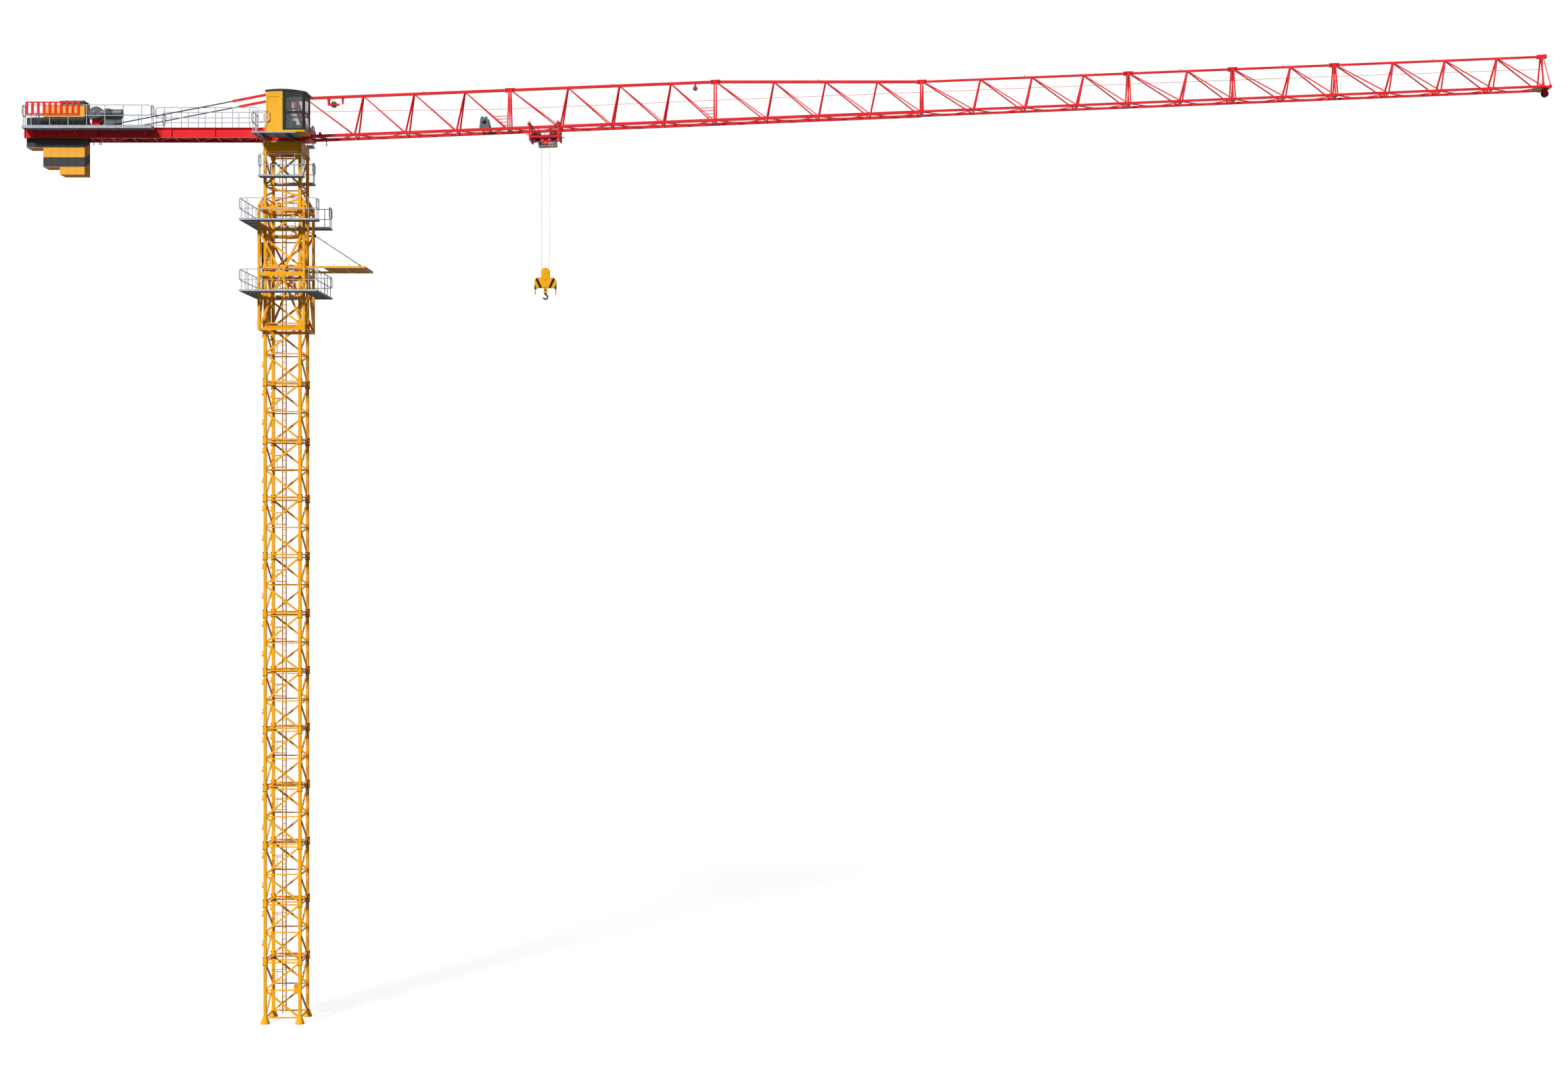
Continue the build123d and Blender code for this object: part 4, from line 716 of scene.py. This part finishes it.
def jib_lines():
    """Lifeline along the front web, lifting eyes on the top chord, pins and forks at every joint, step rungs,
    trolley stops, and the tip's legs, lamp and tray."""
    lines = Stock()
    stations = np.append(JIB_JOINTS, JIB_END - 0.03)
    height = np.array([0.495, 0.505, 0.505, 0.50, 0.49, 0.48, 0.45])
    beside = -RAIL_SIDE + WEB_LEAN * height / jib_depth(stations)
    lean = np.stack([stations, beside, rail_height(stations) + height], -1)
    lean = np.concatenate([[HEAD_LEG_HOOK], lean])
    lines.rods(lean[:-1], lean[1:], ring(0.0045, 6))
    lines.put("jib_lifeline", "upper", "crane_red")

    eyes = Stock()
    joints = np.concatenate([[JIB_ROOT[0] + 0.6], JIB_JOINTS, [JIB_END - 0.2]])
    places = (joints[:-1] + joints[1:]) / 2
    turn = np.linspace(0.0, np.pi, 9)
    top = rail_height(places) + jib_depth(places) + 0.028
    loop = np.stack([0.022 * np.cos(turn), 0.0 * turn, 0.030 * np.sin(turn)], -1)
    eyes.carry(ring(0.005, 6), np.stack([places, 0 * places, top], -1)[:, None] + loop, up=(0.0, 1.0, 0.0))
    eyes.put("jib_lifting_eyes", "upper", "crane_red")

    pins = Stock()
    forks = Stock()
    fork = np.array([(-0.11, -0.022), (0.11, -0.022), (0.11, 0.022), (-0.11, 0.022)])
    for side in (-1, 1):
        for reach in (-0.075, 0.075):
            joint = JIB_JOINTS + reach
            chord = rail_height(joint) + jib_depth(JIB_JOINTS)
            top_pins = np.stack([joint, 0 * joint + side * 0.043, chord], -1)
            pins.turn(PIN, top_pins, (0, side, 0), 10)
            rail_pins = np.stack([joint, 0 * joint + side * 0.2245, rail_height(joint)], -1)
            pins.turn(PIN * 0.8, rail_pins, (0, -side, 0), 10)
        middle = np.stack([JIB_JOINTS, 0 * JIB_JOINTS + side * 0.2268, rail_height(JIB_JOINTS)], -1)
        forks.plates(fork, middle, 0.005)
    pins.put("jib_joint_pins", "upper", "hook_black")
    forks.put("jib_rail_forks", "upper", "crane_red")

    rungs = Stock()
    for end, run in ((5.385, 1.059), (10.360, 1.0484)):
        for height in (0.1705, 0.3185):
            start = end - run * height / ROOT_DEPTH
            for side in (-1, 1):
                y = side * (0.245 - 0.226 * height / ROOT_DEPTH)
                inner = [start, y, float(rail_height(start)) + height]
                outer = [end, y, float(rail_height(end)) + height]
                rungs.rods(inner, outer, ring(0.009, 8))
    rungs.put("jib_step_rungs", "upper", "crane_red")

    stops = Stock()
    stop = [(-0.035, 0.0), (0.035, 0.0), (0.030, 0.035), (0.012, 0.062), (-0.020, 0.062)]
    rails = [-RAIL_SIDE, RAIL_SIDE]
    for x, size in ((0.87, 1.0), (30.33, 0.6)):
        level = [float(rail_height(x)) + RAIL_HALF]
        stops.plates(np.array(stop) * size, rows([x], rails, level), 0.03)
    foot = [(0.0, -0.100), (0.024, -0.100), (0.024, -0.088), (0.010, -0.084), (0.010, 0.0), (0.0, 0.0)]
    stops.turn(foot, rows([0.914], rails, [float(rail_height(0.914)) - RAIL_HALF]), (0, 0, 1), 12)
    stops.put("jib_trolley_stops", "upper", "crane_red")

    tip = Stock()
    foot_level = float(rail_height(JIB_END)) + 0.019
    for side in (-1, 1):
        head = [30.43, side * 0.030, foot_level + 0.735]
        tip.rods(head, [30.525, side * 0.275, foot_level], block(0.022, 0.022))
        tip.plates(block(0.06, 0.022), [[30.515, side * 0.270, foot_level + 0.011]], 0.05)
    lamp = [(0.0, 0.0), (0.012, 0.0), (0.012, 0.006), (0.006, 0.008), (0.006, 0.014), (0.011, 0.018),
            (0.010, 0.030), (0.0, 0.034)]
    tip.turn(lamp, [30.46, 0.0, 23.364], (0, 0, 1), 12)
    tip.put("jib_tip_legs", "upper", "crane_red")
    tray = Stock()
    level = float(rail_height(TRAY_X))
    tray.plates(block(0.24, 0.44, 0.05), [[TRAY_X, 0.0, level - 0.024]], 0.004, (0.0, 0.0, 1.0))
    ribs = rows([TRAY_X - 0.11, TRAY_X, TRAY_X + 0.11], [0.0], [level - 0.028])
    tray.rods(ribs - [0, 0.242, 0], ribs + [0, 0.242, 0], block(0.012, 0.010))
    tray.put("jib_tip_tray", "upper", "crane_yellow")


GIRDER_LOW = 21.2975


def counter_jib_fittings():
    """Web stiffeners, walkway brackets, hanging stubs, posts and tie pins, and an eye on every slab."""
    plates = Stock()
    stiff = np.array([(0.0, -0.107), (0.033, -0.107), (0.033, 0.107), (0.0, 0.107)])
    middle = (GIRDER_TOP + GIRDER_LOW) / 2
    for side in (-1, 1):
        outline = stiff * [-side, 1]
        places = rows([-6.235, -5.60, -4.455, -3.80, -2.70, -1.65, -0.62], [side * 0.292], [middle])
        plates.plates(outline if side < 0 else outline[::-1], places, 0.010, (1.0, 0.0, 0.0))
        xs = np.array([-6.01, -4.955, -4.517, -3.30])[:, None] * [1.0, 0.0, 0.0]
        plates.rods(xs + [0.0, side * 0.318, 21.31], xs + [0.0, side * 0.605, 21.484], block(0.022, 0.022))
        plates.rods(xs + [0.0, side * 0.318, 21.312], xs + [0.03, side * 0.318, 21.312], block(0.03, 0.03))
    stub = [(0.0, -0.055), (0.014, -0.055), (0.014, -0.045), (0.009, -0.043), (0.009, 0.0), (0.0, 0.0)]
    plates.turn(stub, rows([-4.76, -4.62, -4.58, -0.65], [-0.305, 0.305], [GIRDER_LOW]), (0, 0, 1), 10)
    for x in (-4.65, -4.33):
        plates.rods([x, -0.305, GIRDER_TOP], [x, -0.305, GIRDER_TOP + 0.115], block(0.03, 0.03))
    plates.put("counter_jib_fittings", "upper", "crane_red")

    pins = Stock()
    for side in (-1, 1):
        pins.turn(PIN * 1.1, [[-4.25, side * 0.337, 21.5925]], (0, side, 0), 12)
        pins.turn(PIN * 1.3, [[0.08, side * 0.342, 22.430]], (0, side, 0), 12)
    pins.put("counter_jib_tie_pins", "upper", "hook_black")

    eyes = Stock()
    turn = np.linspace(0.0, np.pi, 11)
    arch = np.stack([0.0 * turn, 0.040 * np.cos(turn), 0.058 * np.sin(turn)], -1)
    tops = GIRDER_TOP + np.array([0.260, 0.260, 0.550, 0.550, 0.665, 0.665, 0.665])
    centres = np.stack([-6.122 + 0.2 * np.arange(7), 0.0 * tops, tops - 0.004], -1)
    eyes.carry(ring(0.010, 8), centres[:, None] + arch, up=(1.0, 0.0, 0.0))
    eyes.put("counterweight_eyes", "upper", "crane_yellow")


DRUM = np.array([-4.555, 0.0, 21.8978])


def hoist_fittings():
    """Rope wound on the drum, bolts and cap on the gearbox, fins and a ribbed fan cover on the motor."""
    rope = Stock()
    along = np.linspace(-0.170, 0.170, 181)
    wound = 0.1365 + 0.006 * np.abs(np.cos(np.pi * (along + 0.170) / 0.017))
    outline = np.concatenate([[(0.1302, -0.171)], np.stack([wound, along], -1), [(0.1302, 0.171)]])
    rope.turn(outline, DRUM, (0, 1, 0), 32)
    rope.put("hoist_drum_rope", "upper", "rope_steel")

    cast = Stock()
    turn = 2.0 * np.pi * np.arange(12) / 12
    face = DRUM + [0.0, -0.3303, 0.0]
    spokes = np.stack([np.cos(turn), 0.0 * turn, np.sin(turn)], -1)
    cast.turn(BOLT * 0.7, face + spokes * 0.115, (0, -1, 0), 6)
    cap = [(0.0, 0.022), (0.042, 0.022), (0.050, 0.016), (0.052, 0.006), (0.070, 0.006), (0.072, 0.0),
           (0.0, 0.0)]
    cast.turn(cap, face, (0, -1, 0), 28)
    axis = np.array([-4.0, -0.2997, 21.8828])
    swing = 2.0 * np.pi * np.arange(28) / 28
    out = np.stack([0.0 * swing, np.cos(swing), np.sin(swing)], -1)
    out = out[out[:, 2] > -0.9]
    starts, ends = axis + [-0.30, 0, 0] + out * 0.099, axis + [-0.096, 0, 0] + out * 0.099
    cast.carry(block(0.004, 0.014), np.stack([starts, ends], 1), up=out[:, None])
    ribs = np.linspace(0.0, 0.1, 11)
    cover = np.stack([ribs, 0.004 + 0.006 * (np.arange(11) % 2)], -1)
    cast.turn([*cover, (0.104, 0.0)], [-3.880, -0.2997, 21.8828], (1, 0, 0), 28)
    cast.put("hoist_winch_castings", "upper", "machine_grey")


TROLLEY = np.array([6.2653, 0.0, 21.5693])
ARM = 0.347
ARM_HEAD = 0.108
AXLE = -0.170
SHEAVE = 0.1993
SHEAVE_ROPE = 0.1043
BLOCK_SHEAVE = 0.095


def trolley_fittings():
    """Arm heads, guide rollers on brackets, sheave plates, the hanging bracket and the basket's sheets."""
    red = Stock()
    head = [(0.0, 0.005), (0.026, 0.005), (0.029, 0.002), (0.029, -0.028), (0.0, -0.028)]
    for side in (-1, 1):
        red.turn(head, rows([-ARM, ARM], [side * 0.3245], [ARM_HEAD]), (0, side, 0), 20)
        web = [(-0.066, -0.034), (0.066, -0.034), (0.066, -0.014), (0.014, 0.078), (-0.014, 0.078),
               (-0.066, -0.014)]
        red.plates(web, rows([-SHEAVE, SHEAVE], [side * 0.0515], [AXLE]), 0.006)
        boss = [(0.0, 0.012), (0.030, 0.012), (0.036, 0.006), (0.036, 0.0), (0.0, 0.0)]
        red.turn(boss, rows([-SHEAVE, SHEAVE], [side * 0.0545], [AXLE]), (0, side, 0), 20)
    hanger = [(-0.058, 0.02), (-0.046, -0.20), (0.046, -0.20), (0.058, 0.02)]
    red.plates(hanger, [[0.0, -0.030, AXLE], [0.0, 0.030, AXLE]], 0.010)
    red.rods([-ARM, 0.3125, -0.25], [ARM, 0.3125, -0.25], ring(0.008, 8))
    for side in (-1, 1):
        red.rods([-ARM, side * 0.066, AXLE - 0.042], [ARM, side * 0.066, AXLE - 0.042], block(0.010, 0.052))
    red.tilted(TROLLEY, JIB_SLOPE).put("trolley_plates", "trolley", "crane_red")

    pins = Stock()
    for side in (-1, 1):
        pins.turn(PIN * 0.8, rows([-ARM, ARM], [side * 0.3295], [ARM_HEAD]), (0, side, 0), 12)
        pins.turn(PIN * 0.8, rows([-SHEAVE, SHEAVE], [side * 0.0665], [AXLE]), (0, side, 0), 12)
        pins.turn(PIN * 0.5, rows([-SHEAVE, SHEAVE], [side * 0.0545], [AXLE + 0.062]), (0, side, 0), 10)
        corners = np.array([-SHEAVE - 0.05, -SHEAVE + 0.05, SHEAVE - 0.05, SHEAVE + 0.05])
        pins.turn(PIN * 0.5, rows(corners, [side * 0.0545], [AXLE - 0.004]), (0, side, 0), 10)
        pins.turn(PIN * 0.9, [[0.0, side * 0.035, AXLE - 0.172]], (0, side, 0), 12)
    pins.tilted(TROLLEY, JIB_SLOPE).put("trolley_pins", "trolley", "galvanised", pin_brass)

    rollers = Stock()
    roller = [(0.0, -0.012), (0.014, -0.012), (0.0165, -0.009), (0.0165, 0.009), (0.014, 0.012), (0.0, 0.012)]
    rollers.turn(roller, rows([-0.289, 0.289], [-0.283, 0.283], [-0.0505, 0.0505]), (0, 1, 0), 16)
    rollers.tilted(TROLLEY, JIB_SLOPE).put("trolley_guide_rollers", "trolley", "sheave_black", pin_brass)
    brackets = Stock()
    arm = [(-0.026, -0.060), (0.026, -0.034), (0.026, 0.034), (-0.026, 0.060), (-0.034, 0.050),
           (-0.034, -0.050)]
    for side in (-1, 1):
        for end in (-1, 1):
            outline = np.array(arm) * [end, 1]
            brackets.plates(outline[::-end], [[end * 0.297, side * 0.2978, 0.0]], 0.004)
    brackets.tilted(TROLLEY, JIB_SLOPE).put("trolley_roller_brackets", "trolley", "hook_black")

    sheets = Stock()
    side_sheet = block(0.262, 0.175, 0.02)
    sheets.plates(side_sheet, rows([-0.212, 0.212], [0.470], [-0.242]), 0.003, (1.0, 0.0, 0.0))
    sheets.plates(block(0.408, 0.175, 0.02), [[0.0, 0.606, -0.242]], 0.003)
    slats = np.linspace(-0.19, 0.19, 10)
    sheets.rods(rows(slats, [0.345], [-0.327]), rows(slats, [0.598], [-0.327]), block(0.010, 0.004))
    posts = [-0.07, 0.07]
    sheets.rods(rows(posts, [0.6068], [-0.16]), rows(posts, [0.6068], [0.078]), ring(0.006, 8))
    sheets.tilted(TROLLEY, JIB_SLOPE).put("trolley_basket_sheets", "trolley", "galvanised")
    tray = Stock()
    tray.plates(block(0.40, 0.235, 0.05), [[0.0, 0.475, -0.3475]], 0.003, (0.0, 0.0, 1.0))
    tray.tilted(TROLLEY, JIB_SLOPE).put("trolley_basket_tray", "trolley", "crane_yellow")


def hook_fittings():
    """Bolts down the block's head, a head plate with a round foot, the pin through the swivel, and the
    hoist falls, which run down from the trolley's sheaves and round the block's sheave."""
    zinc_bolts = Stock()
    for side in (-1, 1):
        places = rows([HOOK_X], [side * 0.0545], BLOCK_TOP - np.array([0.034, 0.131, 0.272, 0.435]))
        zinc_bolts.turn(BOLT * 0.75, places, (0, side, 0), 8)
        beside = rows([HOOK_X - 0.145, HOOK_X + 0.145], [side * 0.052], [BLOCK_TOP - 0.288])
        zinc_bolts.turn(BOLT * 0.6, beside, (0, side, 0), 8)
    zinc_bolts.put("hook_block_bolts", "hook_block", "galvanised")
    plate = Stock()
    turn = np.radians(np.linspace(-141.5, -38.5, 17))
    foot = np.stack([0.115 * np.cos(turn), -0.173 + 0.115 * np.sin(turn)], -1)
    outline = np.concatenate([foot, [(0.090, -0.088), (0.050, -0.008), (-0.050, -0.008), (-0.090, -0.088)]])
    for side in (-1, 1):
        plate.plates(outline, [[HOOK_X, side * 0.0534, BLOCK_TOP]], 0.0028)
    plate.put("hook_block_head_plates", "hook_block", "crane_yellow", block_yellow)
    band = Stock()
    swivel, reach = np.array([HOOK_X, 0.0, BLOCK_TOP - 0.537]), np.array([0.0, 0.044, 0.0])
    band.rods(swivel - reach, swivel + reach, block(0.042, 0.030, 0.25))
    band.put("hook_swivel_pin", "hook_block", "hook_black")

    rope = Stock()
    top = TROLLEY[2] + AXLE
    under = np.linspace(np.pi, 2.0 * np.pi, 25)
    pulley = BLOCK_SHEAVE * np.stack([np.cos(under), 0.0 * under, np.sin(under)], -1)
    pulley = pulley + [HOOK_X, 0.0, BLOCK_TOP - 0.105]
    drop = np.linspace(0.0, 1.0, 40)[:, None]
    left = pulley[0] + (1.0 - drop) * [0.0, 0.0, top - 0.008 - pulley[0][2]]
    right = pulley[-1] + drop * [0.0, 0.0, top + 0.008 - pulley[-1][2]]
    over_left = np.linspace(0.0, 0.55 * np.pi, 13)[::-1]
    wrap_left = SHEAVE_ROPE * np.stack([np.cos(over_left), 0.0 * over_left, np.sin(over_left)], -1)
    wrap_left = wrap_left - [SHEAVE, 0.0, 0.0]
    wrap_right = np.stack([-wrap_left[:, 0], wrap_left[:, 1], wrap_left[:, 2]], -1)[::-1]
    ends = [wrap + [HOOK_X, 0.0, top + shift] for wrap, shift in ((wrap_left, -0.008), (wrap_right, 0.008))]
    line = np.concatenate([ends[0], left[1:], pulley[1:], right[1:], ends[1][1:]])
    rope.carry(ring(0.003, 8), line, up=(0.0, 1.0, 0.0))
    falls = rope.put("hoist_falls", None, "rope_steel")
    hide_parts("hoist_ropes")
    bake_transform(falls)


mast_fittings()
ladder_fittings()
deck_fittings()
climbing_fittings()
slewing_fittings()
cab_fittings()
jib_lines()
counter_jib_fittings()
hoist_fittings()
trolley_fittings()
hook_fittings()


def shown_white(tree):
    """How white the studio is to a ray: full for the camera and through glass, and a share of it in gloss."""
    path = tree.nodes.new("ShaderNodeLightPath")
    seen = Socket(tree, path.outputs["Is Camera Ray"])
    seen = seen.math("MAXIMUM", seen, Socket(tree, path.outputs["Is Transmission Ray"]))
    return seen.math("MAXIMUM", seen, Socket(tree, path.outputs["Is Glossy Ray"]) * GLOSS_SHARE)


def stand_floor():
    """A wide pale floor that takes the crane's shadow, and shows white where nothing shades it."""
    reach = np.array([-FLOOR_REACH, FLOOR_REACH])
    corners = np.stack(np.meshgrid(reach, reach, [-FLOOR_DROP]), -1).reshape(-1, 3)
    mesh = bpy.data.meshes.new("studio_floor")
    mesh.from_pydata(corners.tolist(), [], [(0, 1, 3, 2)])
    floor = bpy.data.objects.new("studio_floor", mesh)
    scene.collection.objects.link(floor)
    made = bpy.data.materials.new("floor_white")
    made.use_nodes = True
    tree = made.node_tree
    shader = tree.nodes["Principled BSDF"]
    shader.inputs["Base Color"].default_value = (FLOOR_GREY, FLOOR_GREY, FLOOR_GREY, 1)
    shader.inputs["Roughness"].default_value = 0.9
    shader.inputs["Emission Color"].default_value = (1, 1, 1, 1)
    shader.inputs["Specular IOR Level"].default_value = 0.0
    tree.links.new((shown_white(tree) * FLOOR_GLOW).socket, shader.inputs["Emission Strength"])
    mesh.materials.append(made)


def light_the_stage():
    """One soft key from the front left and above, and an even world that shows white to the camera."""
    lamp = bpy.data.lights.new("key", "SUN")
    lamp.energy = KEY_STRENGTH
    lamp.angle = KEY_SPREAD
    key = bpy.data.objects.new("key", lamp)
    key.rotation_euler = (KEY_TILT, 0.0, KEY_TURN)
    scene.collection.objects.link(key)
    world = bpy.data.worlds.new("studio")
    world.use_nodes = True
    scene.world = world
    tree = world.node_tree
    shader = tree.nodes["Background"]
    shader.inputs["Color"].default_value = (1, 1, 1, 1)
    strength = WORLD_FILL + shown_white(tree) * (1.0 - WORLD_FILL)
    tree.links.new(strength.socket, shader.inputs["Strength"])


def place_camera():
    """A level camera that looks along +Y from the photograph's place."""
    lens = bpy.data.cameras.new("camera")
    lens.lens = CAMERA_LENS_MM
    lens.sensor_width = CAMERA_SENSOR_MM
    lens.clip_end = 3000.0
    camera = bpy.data.objects.new("camera", lens)
    camera.location = CAMERA_PLACE + MAST_AXIS
    camera.rotation_euler = (math.radians(90.0), 0.0, 0.0)
    scene.collection.objects.link(camera)
    scene.camera = camera


stand_floor()
light_the_stage()
place_camera()
